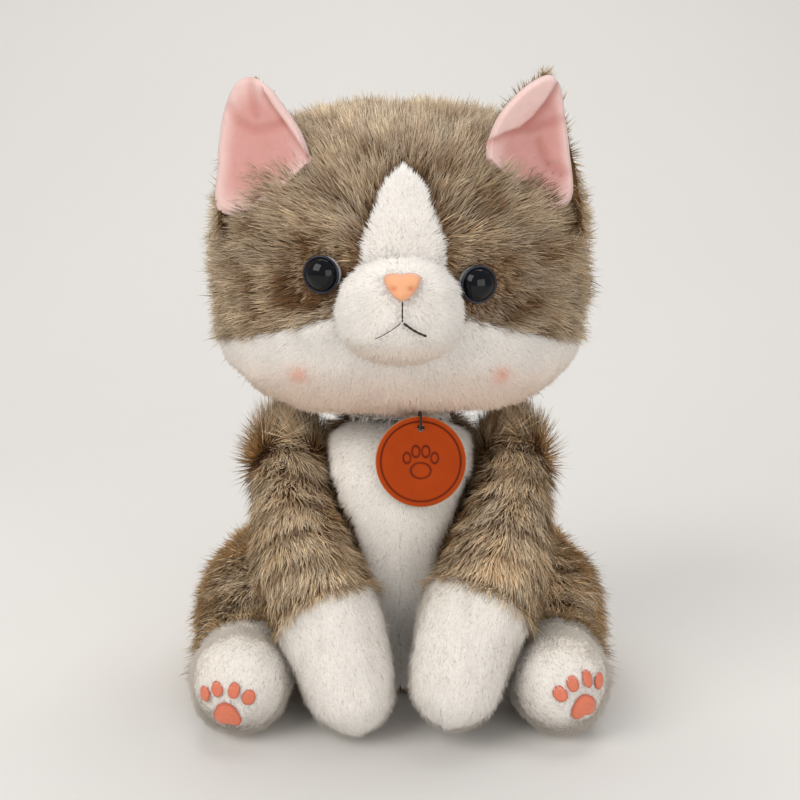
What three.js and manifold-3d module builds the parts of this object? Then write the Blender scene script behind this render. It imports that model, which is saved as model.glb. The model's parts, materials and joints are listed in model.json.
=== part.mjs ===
// A seated plush cat: fur-fabric covers over loose stuffing, with a round head on a stuffed neck
// plug, two front legs, two hind legs, a tail, and a leather tag on a thread loop.
// Millimetres, +Z up. The cat faces -Y and its own left side is +X. The origin is the middle of
// the flat seat panel's underside, on the surface that the cat sits on.
import * as THREE from 'three';
import { mergeVertices } from 'three/addons/utils/BufferGeometryUtils.js';
import Module from 'manifold-3d';

const wasm = await Module();
wasm.setup();

const UP = new THREE.Vector3(0, 0, 1);
const FORWARD = new THREE.Vector3(0, -1, 0);
const BACKWARD = new THREE.Vector3(0, 1, 0);
const ACROSS = new THREE.Vector3(1, 0, 0);

// ---- fits -------------------------------------------------------------------------------------
const SEAM = 0.4; // gap between two cover panels that are sewn edge to edge
const FILL_GAP = 0.4; // gap between a cover and the stuffing inside it
const REST_GAP = 0.4; // gap between two pieces that lie face to face
const ARM_GAP = 2.4; // gap between the torso's hollow and the arm that moves in it
const LEG_GAP = 3; // the same for a hind leg and for the tail
const FAR = 400; // half size of the blocks that cut a panel out of a cover

// ---- covers -----------------------------------------------------------------------------------
const HEAD_WALL = 5; // cloth and pile of the head's cover
const TORSO_WALL = 5;
const LIMB_WALL = 4;
const BIG_SIDES = 24; // facets around the head and the torso
const LIMB_SIDES = 12; // facets around a limb

// ---- head -------------------------------------------------------------------------------------
// A rounded block: half sizes, and how square it is seen from the front above and below its
// middle (crown and jowl), and from the side (depth); 2 is an ellipse.
const HEAD = { x: 93, y: 74, z: 73, crown: 2.5, jowl: 3.6, depth: 1.95 };
const HEAD_CENTRE = new THREE.Vector3(0, -5, 212);
// The cheeks sag: the front of the head hangs lower, fully so from `full` in front of its middle.
const SAG = { drop: 10, start: 18, full: 45, top: 0.1, bottom: 0.8 };
const HEAD_BACK_SEAM_Y = 14; // the ear-to-ear seam between face and back of the head
const CHEEK_LINE = { middle: 190, side: 173 }; // height of the white cheeks' upper seam
const BLAZE = { x: 1.5, top: 258, half: [9, 12.5, 17], heights: [249, 238, 224] };
const MUZZLE = { x: 29.5, y: 25, z: 24.5, crown: 2.2, jowl: 2.2, depth: 2.2 };
const MUZZLE_CENTRE = new THREE.Vector3(0, -72, 195);
const MUZZLE_WALL = 3;

const EYE = { radius: 7.8, height: 6.4, sink: 3.4, stemRadius: 1.9, stemLength: 14 };
const EYE_WASHER = { radius: 7.5, thickness: 1.6, fit: 0.3, behindCover: 2 };
const EYE_SPREAD = 35.3; // from the middle of the face to each eye
const EYE_HOLE_FIT = 0.5; // around a stem and around an eye's rim

const NOSE = { halfWidth: 8.4, height: 10.8, depth: 4.6, x: 1, z: 207.5 };
const MOUTH_THREAD = 1.3; // diameter
const MOUTH = { top: 201.2, middle: 193, halfWidth: 10.5, drop: 8.5 };

const EAR = {
  innerBase: [38, 263],
  outerBase: [86, 236],
  tip: [71, 300],
  bulge: 8,
  tipRadius: 9,
  backThickness: 8,
  liningThickness: 2.6,
  liningInset: 3.2,
  y: -48,
  turnOut: 18,
  lean: 8,
  root: 12,
};

// ---- neck -------------------------------------------------------------------------------------
const NECK_PIVOT = new THREE.Vector3(0, 2, 152);
const NECK = { radius: 30, collarRadius: 36, collarThickness: 2.6, fit: 1 };

// ---- torso ------------------------------------------------------------------------------------
const TORSO_HEIGHT = 134;
// Half width at each share of the torso's height, from the seat to the neck.
const TORSO_OUTLINE = [[0, 54], [0.05, 62], [0.15, 67], [0.32, 68], [0.5, 64], [0.68, 57],
  [0.83, 49], [0.93, 38], [0.985, 26], [1, 20]];
const TORSO_LEAN = { low: 17, high: -3, from: 0.33, to: 0.95 }; // how far back its sections stand
const CHEST_TOP = 50; // half width of the white chest panel above the neck
const CHEST_WAIST = { half: 18, z: 76 };
const CHEST_FOOT = 10; // half width of its narrow lower end
const PELLET_BAG = { radius: 26, height: 20, y: 14 };
const LABEL = { reach: 10, height: 12, thickness: 0.8, z: 54 };

// ---- limbs ------------------------------------------------------------------------------------
// Each limb is listed for the cat's left; x changes sign for the right. A stop is x, y, z, radius.
const ARM_STOPS = [[54, -7, 119, 18], [53, -34, 101, 19.5], [44, -59, 73, 25], [30, -77, 47, 24.8],
  [22.5, -87, 24, 21.5]];
const ARM_RANGE = 40; // degrees that an arm lifts
const ARM_OPENING = 25; // degrees that its hinge leans, so that a lifted arm also swings outwards
const SOCK_START = 0.66; // share of the arm's stops where the white sock starts
const LEG_STOPS = [[62, 25, 36.5, 35.5], [69, -8, 34.5, 34.5], [72.5, -36, 28.5, 28.5], [73, -60, 24, 22.5],
  [73, -80, 24, 24]];
const FOOT_START = 0.7; // share of the leg's stops where the white foot starts
const TAIL_STOPS = [[0, 82, 27, 14], [-28, 99, 22, 13], [-58, 98, 17, 12.5], [-82, 84, 15, 11]];
const TAIL_OVERLAP = 6; // how far its cover reaches in front of its first stop

// What differs between the two hand-sewn sides: +1 is the cat's left.
const SIDES = [
  { name: 'left', sign: 1, eyeZ: 205.4, pawLift: 4, footTurn: 20, padRise: 3.5, padRoll: 8 },
  { name: 'right', sign: -1, eyeZ: 209.8, pawLift: 0, footTurn: 11, padRise: 0, padRoll: 0 },
];

// ---- foot pads --------------------------------------------------------------------------------
const PAD_THICKNESS = 1.6;
const MAIN_PAD = { halfWidth: 7.8, height: 10, z: -9 }; // z from the foot's middle to the pad's middle
const TOE_PADS = [
  { name: 'outer', x: 10.8, z: -1, tilt: 18 },
  { name: 'outer_middle', x: 4.1, z: 2.8, tilt: 5 },
  { name: 'inner_middle', x: -4.1, z: 2.8, tilt: -5 },
  { name: 'inner', x: -10.8, z: -1, tilt: -18 },
];
const TOE_PAD = { halfWidth: 2.5, halfHeight: 3.5 };

// ---- tag --------------------------------------------------------------------------------------
const TAG = { radius: 21, thickness: 2.6, holeRadius: 1.7, holeUp: 15.5, lean: 14 };
const TAG_CENTRE = new THREE.Vector3(9.6, -54, 121);
const TAG_CORD_DIAMETER = 1.2;
// The thread loop: out of the neck seam, over the tag's top edge, through the hole and back.
const TAG_CORD_ROUTE = [
  [8.4, -30.4, 131.9], [8.4, -33, 132.4], [8.5, -37.5, 134.4], [8.7, -42, 138.2],
  [9, -46, 141.8], [9.3, -49, 143.3], [9.5, -51.6, 142.7], [9.6, -53.4, 140.4],
  [9.6, -53.4, 137.8], [9.6, -51.8, 136.2], [9.6, -49.8, 135.6], [9.8, -47, 135.4],
  [10.2, -43, 134.9], [10.8, -38, 133.4], [11.3, -33, 132], [11.6, -29.6, 131.6],
];

// ---- colours ----------------------------------------------------------------------------------
const finish = (color, roughness) => new THREE.MeshStandardMaterial({ color, roughness, metalness: 0 });
const BROWN_FUR = finish(0x8a7660, 0.95);
const WHITE_FUR = finish(0xf0ebe4, 0.95);
const EAR_VELVET = finish(0xe9b8b0, 0.85);
const PAD_SATIN = finish(0xe8805a, 0.7);
const NOSE_FLOCK = finish(0xf4b48a, 0.75);
const EYE_GLOSS = finish(0x0a0a0c, 0.08);
const WASHER_PLASTIC = finish(0xd8d8d4, 0.5);
const DARK_THREAD = finish(0x3a2a22, 0.8);
const TAG_LEATHER = finish(0xa8481c, 0.55);
const STUFFING = finish(0xf4f2ee, 1);
const BAG_CLOTH = finish(0xd9d3c6, 0.9);
const LABEL_SATIN = finish(0xf2f0ec, 0.6);

// ---- solids -----------------------------------------------------------------------------------
/** A closed three.js geometry as a solid that can be cut and joined. */
function solidOf(geometry) {
  const bare = geometry.clone();
  bare.deleteAttribute('normal');
  bare.deleteAttribute('uv');
  const merged = mergeVertices(bare, 1e-3);
  const index = merged.index.array;
  const triangles = [];
  for (let i = 0; i < index.length; i += 3) {
    const [a, b, c] = [index[i], index[i + 1], index[i + 2]];
    if (a !== b && b !== c && c !== a) triangles.push(a, b, c);
  }
  return new wasm.Manifold(new wasm.Mesh({
    numProp: 3,
    vertProperties: new Float32Array(merged.attributes.position.array),
    triVerts: new Uint32Array(triangles),
  }));
}

/** A solid as a flat-shaded mesh with a node's name. */
function piece(name, solid, material) {
  const mesh = solid.getMesh();
  const geometry = new THREE.BufferGeometry();
  geometry.setAttribute('position', new THREE.BufferAttribute(new Float32Array(mesh.vertProperties), 3));
  geometry.setIndex(new THREE.BufferAttribute(new Uint32Array(mesh.triVerts), 1));
  geometry.computeVertexNormals();
  const node = new THREE.Mesh(geometry, material);
  node.name = name;
  return node;
}

/** Moves every vertex of a geometry with a function that changes the vector it is given. */
function reshape(geometry, move) {
  const position = geometry.attributes.position;
  const v = new THREE.Vector3();
  for (let i = 0; i < position.count; i += 1) {
    move(v.fromBufferAttribute(position, i));
    position.setXYZ(i, v.x, v.y, v.z);
  }
  return geometry;
}

/** Value at t from a list of [t, value] pairs, along straight stretches. */
function between(pairs, t) {
  const next = pairs.findIndex(([at]) => at >= t);
  if (next <= 0) return next === 0 ? pairs[0][1] : pairs.at(-1)[1];
  const [t0, a] = pairs[next - 1];
  const [t1, b] = pairs[next];
  return THREE.MathUtils.mapLinear(t, t0, t1, a, b);
}

/** Distance from the middle of a rounded block to its surface along a unit direction. */
function blockReach(size, grow, d) {
  const p = d.z > 0 ? size.crown : size.jowl;
  const face = Math.abs(d.x / (size.x + grow)) ** p + Math.abs(d.z / (size.z + grow)) ** p;
  const sum = face ** (size.depth / p) + Math.abs(d.y / (size.y + grow)) ** size.depth;
  return sum ** (-1 / size.depth);
}

/** A rounded block about its centre, grown on every side by grow. */
function roundedBlock(size, centre, grow = 0, sides = BIG_SIDES, settle = (v) => v) {
  const ball = new THREE.SphereGeometry(1, sides, sides / 2).rotateX(Math.PI / 2);
  reshape(ball, (v) => settle(v.normalize().multiplyScalar(blockReach(size, grow, v))).add(centre));
  return solidOf(ball);
}

/** Lets the lower front of the head, a point measured from its middle, hang down. */
function sag(v) {
  const forward = THREE.MathUtils.smoothstep(-v.y, SAG.start, SAG.full);
  const low = THREE.MathUtils.smoothstep(-v.z / HEAD.z, SAG.top, SAG.bottom);
  return v.setZ(v.z - SAG.drop * forward * low);
}

/** The head's whole shape, grown on every side by grow. */
const headShape = (grow = 0) => roundedBlock(HEAD, HEAD_CENTRE, grow, BIG_SIDES, sag);

/** The point of a rounded block's front at x and z, and the way its surface faces there. */
function frontOf(size, centre, x, z) {
  const p = z > centre.z ? size.crown : size.jowl;
  const q = size.depth;
  const [u, w] = [(x - centre.x) / size.x, (z - centre.z) / size.z];
  const face = Math.abs(u) ** p + Math.abs(w) ** p;
  const v = -((1 - face ** (q / p)) ** (1 / q));
  const slope = (n, half, power) => (Math.sign(n) * Math.abs(n) ** (power - 1)) / half;
  const faceShare = face ** (q / p - 1);
  return {
    point: new THREE.Vector3(x, centre.y + v * size.y, z),
    normal: new THREE.Vector3(faceShare * slope(u, size.x, p), slope(v, size.y, q),
      faceShare * slope(w, size.z, p)).normalize(),
  };
}

/** A stuffed limb: round sections along a curve through the stops, with domed ends. */
function limb(stops, sign, grow = 0, sides = LIMB_SIDES, steps = 8) {
  const curve = new THREE.CatmullRomCurve3(stops.map(([x, y, z]) => new THREE.Vector3(sign * x, y, z)));
  const length = curve.getLength();
  const radii = new THREE.SplineCurve(stops.map(([, , , r], i) => new THREE.Vector2(i, r + grow)));
  const radiusAt = (share) => radii.getPoint(share).y;
  const profile = [];
  const domeSteps = 3;
  for (let i = 0; i < domeSteps; i += 1) {
    const a = (i / domeSteps) * (Math.PI / 2);
    profile.push(new THREE.Vector2(radiusAt(0) * Math.sin(a), -radiusAt(0) * Math.cos(a)));
  }
  for (let i = 0; i <= steps; i += 1) {
    profile.push(new THREE.Vector2(radiusAt(i / steps), (length * i) / steps));
  }
  for (let i = domeSteps - 1; i >= 0; i -= 1) {
    const a = (i / domeSteps) * (Math.PI / 2);
    profile.push(new THREE.Vector2(radiusAt(1) * Math.sin(a), length + radiusAt(1) * Math.cos(a)));
  }
  const chord = curve.getPoint(1).sub(curve.getPoint(0)).normalize();
  const reference = Math.abs(chord.x) > 0.8 ? UP : ACROSS;
  const tube = new THREE.LatheGeometry(profile, sides);
  reshape(tube, (v) => {
    const share = THREE.MathUtils.clamp(v.y / length, 0, 1);
    const along = curve.getTangent(share);
    const normal = reference.clone().addScaledVector(along, -reference.dot(along)).normalize();
    const side = normal.clone().cross(along);
    const at = curve.getPoint(share).addScaledVector(along, v.y - share * length);
    v.copy(at.addScaledVector(normal, v.x).addScaledVector(side, v.z));
  });
  return solidOf(tube);
}

/** Place and direction of a limb's middle line at a share of its stops. */
function limbFrame(stops, sign, share) {
  const curve = new THREE.CatmullRomCurve3(stops.map(([x, y, z]) => new THREE.Vector3(sign * x, y, z)));
  return { point: curve.getPoint(share), along: curve.getTangent(share) };
}

/** Everything on the side of a plane that its normal points to, less half a seam. */
function beyond(point, normal, gap = SEAM) {
  const block = new THREE.BoxGeometry(2 * FAR, 2 * FAR, FAR).translate(0, 0, FAR / 2 + gap / 2);
  const turn = new THREE.Quaternion().setFromUnitVectors(new THREE.Vector3(0, 0, 1), normal.clone().normalize());
  block.applyQuaternion(turn).translate(point.x, point.y, point.z);
  return solidOf(block);
}

/** A flat outline in X and Z, drawn out along Y from y0 to y1. */
function prism(outline, y0, y1, curveSegments = 8) {
  const drawn = new THREE.ExtrudeGeometry(outline, { depth: y1 - y0, bevelEnabled: false, curveSegments });
  drawn.rotateX(Math.PI / 2).translate(0, y1, 0);
  return solidOf(drawn);
}

/** An outline through corners that are joined by straight stretches. */
const polygon = (corners) => new THREE.Shape(corners.map(([x, z]) => new THREE.Vector2(x, z)));

/** A solid turned about a line through a point, the angle in degrees. */
function turned(geometrySolid, point, axis, degrees) {
  const matrix = new THREE.Matrix4().makeTranslation(point.x, point.y, point.z)
    .multiply(new THREE.Matrix4().makeRotationAxis(axis, THREE.MathUtils.degToRad(degrees)))
    .multiply(new THREE.Matrix4().makeTranslation(-point.x, -point.y, -point.z));
  return geometrySolid.transform(matrix.elements);
}

/** A length of thread along a smooth curve. */
function thread(points, diameter, steps, sides = 8) {
  const curve = new THREE.CatmullRomCurve3(points);
  const section = new THREE.Shape();
  section.absarc(0, 0, diameter / 2, 0, 2 * Math.PI);
  return solidOf(new THREE.ExtrudeGeometry(section, { extrudePath: curve, steps, curveSegments: sides / 2 }));
}

// ---- the limbs' places, which the torso's hollows follow ----------------------------------------
const shoulderOf = (side) => new THREE.Vector3(side.sign * ARM_STOPS[0][0], ARM_STOPS[0][1], ARM_STOPS[0][2]);
const armHinge = (side) => new THREE.Vector3(-1, 0, 0).applyAxisAngle(BACKWARD,
  side.sign * THREE.MathUtils.degToRad(ARM_OPENING));
const armShape = (side, grow = 0, lift = 0) => turned(
  limb(ARM_STOPS, side.sign, grow), shoulderOf(side), armHinge(side), side.pawLift + lift);
const legShape = (side, grow = 0) => limb(LEG_STOPS, side.sign, grow);
const tailShape = (grow = 0) => limb(TAIL_STOPS, 1, grow, 10);

// ---- torso --------------------------------------------------------------------------------------
const torsoLean = (z) => THREE.MathUtils.lerp(TORSO_LEAN.low, TORSO_LEAN.high,
  THREE.MathUtils.smoothstep(z / TORSO_HEIGHT, TORSO_LEAN.from, TORSO_LEAN.to));

/** The torso's whole shape, drawn in on every side by inset. */
function torsoShape(inset) {
  const profile = [new THREE.Vector2(0, inset)];
  TORSO_OUTLINE.forEach(([share, half]) => {
    const z = THREE.MathUtils.clamp(share * TORSO_HEIGHT, inset, TORSO_HEIGHT - inset);
    profile.push(new THREE.Vector2(half - inset, z));
  });
  profile.push(new THREE.Vector2(0, TORSO_HEIGHT - inset));
  const turnedProfile = new THREE.LatheGeometry(profile, BIG_SIDES).rotateX(Math.PI / 2);
  return solidOf(reshape(turnedProfile, (v) => v.setY(v.y + torsoLean(v.z))));
}

/** The torso's hollows for the limbs, with the limbs at rest and through their travel. */
function limbHollows() {
  const sweepSteps = 2;
  let hollows = tailShape(LEG_GAP);
  for (const side of SIDES) {
    hollows = hollows.add(legShape(side, LEG_GAP));
    for (let i = 0; i <= sweepSteps; i += 1) {
      hollows = hollows.add(armShape(side, ARM_GAP, (ARM_RANGE * i) / sweepSteps));
    }
  }
  return hollows;
}

function chestRegion(grow) {
  const rows = [[CHEST_TOP, TORSO_HEIGHT + 10], [CHEST_WAIST.half, CHEST_WAIST.z], [CHEST_FOOT, -10]];
  const corners = [...rows.map(([x, z]) => [x + grow, z]), ...rows.reverse().map(([x, z]) => [-x - grow, z])];
  return prism(polygon(corners), -FAR, torsoLean(0));
}

function makeTorso() {
  const whole = torsoShape(0);
  const hollows = limbHollows();
  const body = whole.subtract(hollows);
  const aboveBase = beyond(new THREE.Vector3(0, 0, TORSO_WALL), UP);
  const cover = body.subtract(torsoShape(TORSO_WALL)).intersect(aboveBase);
  const base = body.subtract(beyond(new THREE.Vector3(0, 0, TORSO_WALL), UP, -SEAM));
  const chest = cover.intersect(chestRegion(-SEAM / 2));
  const sides = cover.subtract(chestRegion(SEAM / 2));
  const pelletPocket = pelletBagShape(REST_GAP + 1, TORSO_WALL + SEAM);
  const stuffing = torsoShape(TORSO_WALL + FILL_GAP).subtract(hollows).subtract(pelletPocket);
  const labelBack = torsoBackAt(LABEL.z - LABEL.height / 2) + REST_GAP;
  const label = new THREE.BoxGeometry(LABEL.thickness, LABEL.reach, LABEL.height)
    .translate(0, labelBack + LABEL.reach / 2, LABEL.z);
  return [
    piece('chest_panel', chest, WHITE_FUR),
    ...SIDES.map((side) => piece(`${side.name}_body_panel`,
      sides.intersect(beyond(new THREE.Vector3(), ACROSS.clone().multiplyScalar(side.sign))), BROWN_FUR)),
    piece('base_panel', base, BROWN_FUR),
    piece('torso_stuffing', stuffing, STUFFING),
    piece('pellet_bag', pelletBagShape(0, TORSO_WALL + 2 * SEAM), BAG_CLOTH),
    piece('care_label', solidOf(label), LABEL_SATIN),
  ];
}

/** Where the torso's back is at a height. */
const torsoBackAt = (z) => between(TORSO_OUTLINE, z / TORSO_HEIGHT) + torsoLean(z);

/** The bag of weighting pellets on the seat, or the room for it when grown. */
function pelletBagShape(grow, bottom) {
  const [r, h] = [PELLET_BAG.radius + grow, PELLET_BAG.height + grow];
  const profile = [[0, bottom], [r - 5, bottom], [r, bottom + h * 0.4], [r - 3, bottom + h * 0.8],
    [r / 2, bottom + h], [0, bottom + h]].map(([x, z]) => new THREE.Vector2(x, z));
  return solidOf(new THREE.LatheGeometry(profile, 16).rotateX(Math.PI / 2).translate(0, PELLET_BAG.y, 0));
}

// ---- neck ---------------------------------------------------------------------------------------
/** The stuffed plug that the head turns and nods on, with the gathered collar around its foot. */
function makeNeck() {
  const foot = TORSO_HEIGHT + REST_GAP;
  const ball = new THREE.SphereGeometry(NECK.radius, 16, 10).rotateX(Math.PI / 2)
    .translate(NECK_PIVOT.x, NECK_PIVOT.y, NECK_PIVOT.z);
  const plug = solidOf(ball).intersect(beyond(new THREE.Vector3(0, 0, foot), UP, 0));
  const collar = new THREE.CylinderGeometry(NECK.collarRadius - 2, NECK.collarRadius, NECK.collarThickness, 16)
    .rotateX(Math.PI / 2).translate(NECK_PIVOT.x, NECK_PIVOT.y, foot + NECK.collarThickness / 2);
  return [piece('neck_plug', plug.add(solidOf(collar)), BROWN_FUR)];
}

// ---- head ---------------------------------------------------------------------------------------
/** The room for an eye, its stem and its washer, or a piece of it, at the eye's place. */
function onFace(side, geometry) {
  const { point, normal } = frontOf(HEAD, HEAD_CENTRE, side.sign * EYE_SPREAD, side.eyeZ);
  const turn = new THREE.Quaternion().setFromUnitVectors(UP, normal);
  return solidOf(geometry.applyQuaternion(turn).translate(point.x, point.y, point.z));
}

/** A round block along Z from z0 to z1. */
const pin = (radius, z0, z1, sides = 16) => new THREE.CylinderGeometry(radius, radius, z1 - z0, sides)
  .rotateX(Math.PI / 2).translate(0, 0, (z0 + z1) / 2);

function eyePieces(side) {
  const seat = -EYE.sink;
  const dome = [[0, seat - EYE.stemLength], [EYE.stemRadius, seat - EYE.stemLength],
    [EYE.stemRadius, seat]];
  const domeSteps = 5;
  for (let i = 0; i <= domeSteps; i += 1) {
    const a = (i / domeSteps) * (Math.PI / 2);
    dome.push([EYE.radius * Math.cos(a), seat + EYE.height * Math.sin(a)]);
  }
  const eye = new THREE.LatheGeometry(dome.map(([x, z]) => new THREE.Vector2(x, z)), 16).rotateX(Math.PI / 2);
  const washerTop = -HEAD_WALL - EYE_WASHER.behindCover;
  const washer = solidOf(pin(EYE_WASHER.radius, washerTop - EYE_WASHER.thickness, washerTop))
    .subtract(solidOf(pin(EYE.stemRadius + EYE_WASHER.fit, -FAR / 2, 0)));
  const { point, normal } = frontOf(HEAD, HEAD_CENTRE, side.sign * EYE_SPREAD, side.eyeZ);
  const place = new THREE.Matrix4().compose(point,
    new THREE.Quaternion().setFromUnitVectors(UP, normal), new THREE.Vector3(1, 1, 1));
  return [
    piece(`${side.name}_eye`, onFace(side, eye), EYE_GLOSS),
    piece(`${side.name}_eye_washer`, washer.transform(place.elements), WASHER_PLASTIC),
  ];
}

/** The white cheeks' part of the head: below a seam that falls towards the sides. */
function cheekRegion(drop) {
  return prism(polygon([[0, 0], [FAR, 0], [FAR, CHEEK_LINE.side - drop], [HEAD.x, CHEEK_LINE.side - drop],
    [MUZZLE.x, CHEEK_LINE.middle - drop], [-MUZZLE.x, CHEEK_LINE.middle - drop],
    [-HEAD.x, CHEEK_LINE.side - drop], [-FAR, CHEEK_LINE.side - drop], [-FAR, 0]]), -FAR, FAR);
}

/** The white blaze's part of the head, from the cheeks up to its rounded top. */
function blazeRegion(grow) {
  const rows = BLAZE.half.map((half, i) => [half + grow, BLAZE.heights[i]]);
  rows.push([BLAZE.half.at(-1) + grow, CHEEK_LINE.side]);
  const right = rows.map(([x, z]) => [BLAZE.x + x, z]);
  const left = rows.map(([x, z]) => [BLAZE.x - x, z]).reverse();
  return prism(polygon([[BLAZE.x, BLAZE.top + grow], ...right, ...left]), -FAR, HEAD_CENTRE.y);
}

function earOutline(sign, inset) {
  const corner = ([x, z], dx, dz) => new THREE.Vector2(sign * (x + dx), z + dz);
  const inner = corner(EAR.innerBase, inset, -EAR.root);
  const outer = corner(EAR.outerBase, -inset, -EAR.root);
  const tip = corner(EAR.tip, 0, -1.6 * inset);
  const side = (a, b) => a.clone().add(b).multiplyScalar(0.5)
    .add(new THREE.Vector2(b.y - a.y, a.x - b.x).normalize().multiplyScalar(sign * EAR.bulge));
  const shape = new THREE.Shape();
  const near = (from, to) => to.clone().lerp(from, EAR.tipRadius / from.distanceTo(to));
  const [tipIn, tipOut] = [near(inner, tip), near(outer, tip)];
  const [outSide, inSide] = [side(outer, tip), side(tip, inner)];
  shape.moveTo(inner.x, inner.y);
  shape.lineTo(outer.x, outer.y);
  shape.quadraticCurveTo(outSide.x, outSide.y, tipOut.x, tipOut.y);
  shape.quadraticCurveTo(tip.x, tip.y, tipIn.x, tipIn.y);
  shape.quadraticCurveTo(inSide.x, inSide.y, inner.x, inner.y);
  return shape;
}

function earPieces(side, headGrown) {
  const root = new THREE.Vector3(side.sign * EAR.innerBase[0], EAR.y, EAR.innerBase[1]);
  const leaf = (inset, y0, y1) => {
    const upright = prism(earOutline(side.sign, inset), y0, y1, 5);
    const leaned = turned(upright, root, ACROSS, -EAR.lean);
    return turned(leaned, root, UP, side.sign * EAR.turnOut).subtract(headGrown);
  };
  return [
    piece(`${side.name}_ear_back`, leaf(0, EAR.y + REST_GAP, EAR.y + EAR.backThickness), BROWN_FUR),
    piece(`${side.name}_ear_lining`, leaf(EAR.liningInset, EAR.y - EAR.liningThickness, EAR.y), EAR_VELVET),
  ];
}

/** A point just proud of the muzzle, where a thread of a diameter lies on the pile. */
function onMuzzle(x, z) {
  const { point, normal } = frontOf(MUZZLE, MUZZLE_CENTRE, x, z);
  return point.addScaledVector(normal, MOUTH_THREAD / 2 + REST_GAP);
}

function mouthPieces() {
  const gap = MOUTH_THREAD + REST_GAP;
  const middle = [MOUTH.top, MOUTH.middle + gap].map((z) => onMuzzle(NOSE.x, z));
  const stitches = [piece('mouth_stitch_middle', thread(middle, MOUTH_THREAD, 2, 6), DARK_THREAD)];
  for (const side of SIDES) {
    const points = [0, 0.5, 1].map((share) => onMuzzle(
      NOSE.x + side.sign * THREE.MathUtils.lerp(gap / 2 + 0.2, MOUTH.halfWidth, share),
      MOUTH.middle - MOUTH.drop * share));
    stitches.push(piece(`mouth_stitch_${side.name}`, thread(points, MOUTH_THREAD, 4, 6), DARK_THREAD));
  }
  return stitches;
}

function nosePiece(muzzleGrown) {
  const { halfWidth, height } = NOSE;
  const outline = new THREE.Shape();
  outline.moveTo(-halfWidth, height * 0.32);
  outline.quadraticCurveTo(-halfWidth, height * 0.5, -halfWidth * 0.6, height * 0.5);
  outline.lineTo(halfWidth * 0.6, height * 0.5);
  outline.quadraticCurveTo(halfWidth, height * 0.5, halfWidth, height * 0.32);
  outline.quadraticCurveTo(halfWidth * 0.8, -height * 0.2, halfWidth * 0.2, -height * 0.5);
  outline.lineTo(-halfWidth * 0.2, -height * 0.5);
  outline.quadraticCurveTo(-halfWidth * 0.8, -height * 0.2, -halfWidth, height * 0.32);
  const front = frontOf(MUZZLE, MUZZLE_CENTRE, NOSE.x, NOSE.z).point.y - NOSE.depth * 0.6;
  const block = new THREE.ExtrudeGeometry(outline, {
    depth: NOSE.depth, bevelThickness: 1.2, bevelSize: 1, bevelOffset: -1, bevelSegments: 2, curveSegments: 4,
  }).rotateX(Math.PI / 2).translate(NOSE.x, front + NOSE.depth, NOSE.z);
  return piece('nose', solidOf(block).subtract(muzzleGrown), NOSE_FLOCK);
}

function makeHead() {
  const socket = solidOf(new THREE.SphereGeometry(NECK.radius + NECK.fit, 16, 10).rotateX(Math.PI / 2)
    .translate(NECK_PIVOT.x, NECK_PIVOT.y, NECK_PIVOT.z));
  const eyeRooms = SIDES.map((side) => onFace(side, pin(EYE.radius + EYE_HOLE_FIT, -EYE.sink - REST_GAP, FAR / 8))
    .add(onFace(side, pin(EYE.stemRadius + EYE_HOLE_FIT, -EYE.sink - EYE.stemLength - 1, 0))));
  const washerRooms = SIDES.map((side) => onFace(side,
    pin(EYE_WASHER.radius + EYE_HOLE_FIT, -EYE.sink - EYE.stemLength - 1, 0)));
  const room = (rooms, solid) => rooms.reduce((left, cut) => left.subtract(cut), solid);

  const whole = headShape().subtract(socket);
  const cover = room(eyeRooms, whole.subtract(headShape(-HEAD_WALL)));
  const stuffing = room(washerRooms, headShape(-HEAD_WALL - FILL_GAP).subtract(socket));
  const seam = new THREE.Vector3(0, HEAD_BACK_SEAM_Y, 0);
  const back = cover.intersect(beyond(seam, BACKWARD));
  const front = cover.intersect(beyond(seam, FORWARD));
  const cheeks = front.intersect(cheekRegion(SEAM / 2));
  const upper = front.subtract(cheekRegion(-SEAM / 2));
  const blaze = upper.intersect(blazeRegion(-SEAM / 2));
  const crown = upper.subtract(blazeRegion(SEAM / 2));

  const headGrown = headShape(REST_GAP);
  const muzzleInner = roundedBlock(MUZZLE, MUZZLE_CENTRE, -MUZZLE_WALL, 16);
  const muzzle = roundedBlock(MUZZLE, MUZZLE_CENTRE, 0, 16).subtract(muzzleInner).subtract(headGrown);
  const muzzleFill = roundedBlock(MUZZLE, MUZZLE_CENTRE, -MUZZLE_WALL - FILL_GAP, 16).subtract(headGrown);
  const onSide = (solid, side) => solid.intersect(
    beyond(new THREE.Vector3(), ACROSS.clone().multiplyScalar(side.sign)));
  return [
    piece('head_back_panel', back, BROWN_FUR),
    piece('forehead_blaze', blaze, WHITE_FUR),
    piece('head_stuffing', stuffing, STUFFING),
    piece('muzzle_cover', muzzle, WHITE_FUR),
    piece('muzzle_stuffing', muzzleFill, STUFFING),
    nosePiece(roundedBlock(MUZZLE, MUZZLE_CENTRE, REST_GAP, 16)),
    ...mouthPieces(),
    ...SIDES.flatMap((side) => [
      piece(`${side.name}_crown_panel`, onSide(crown, side), BROWN_FUR),
      piece(`${side.name}_cheek_panel`, onSide(cheeks, side), WHITE_FUR),
      ...eyePieces(side),
      ...earPieces(side, headGrown),
    ]),
  ];
}

// ---- limbs --------------------------------------------------------------------------------------
/** A limb's cover in two panels that meet at a point of its middle line, and its stuffing. */
function limbPieces(names, shape, at, along) {
  const cover = shape(0).subtract(shape(-LIMB_WALL));
  return [
    piece(names.upper, cover.intersect(beyond(at, along.clone().negate())), BROWN_FUR),
    piece(names.lower, cover.intersect(beyond(at, along)), WHITE_FUR),
    piece(names.fill, shape(-LIMB_WALL - FILL_GAP), STUFFING),
  ];
}

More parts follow.
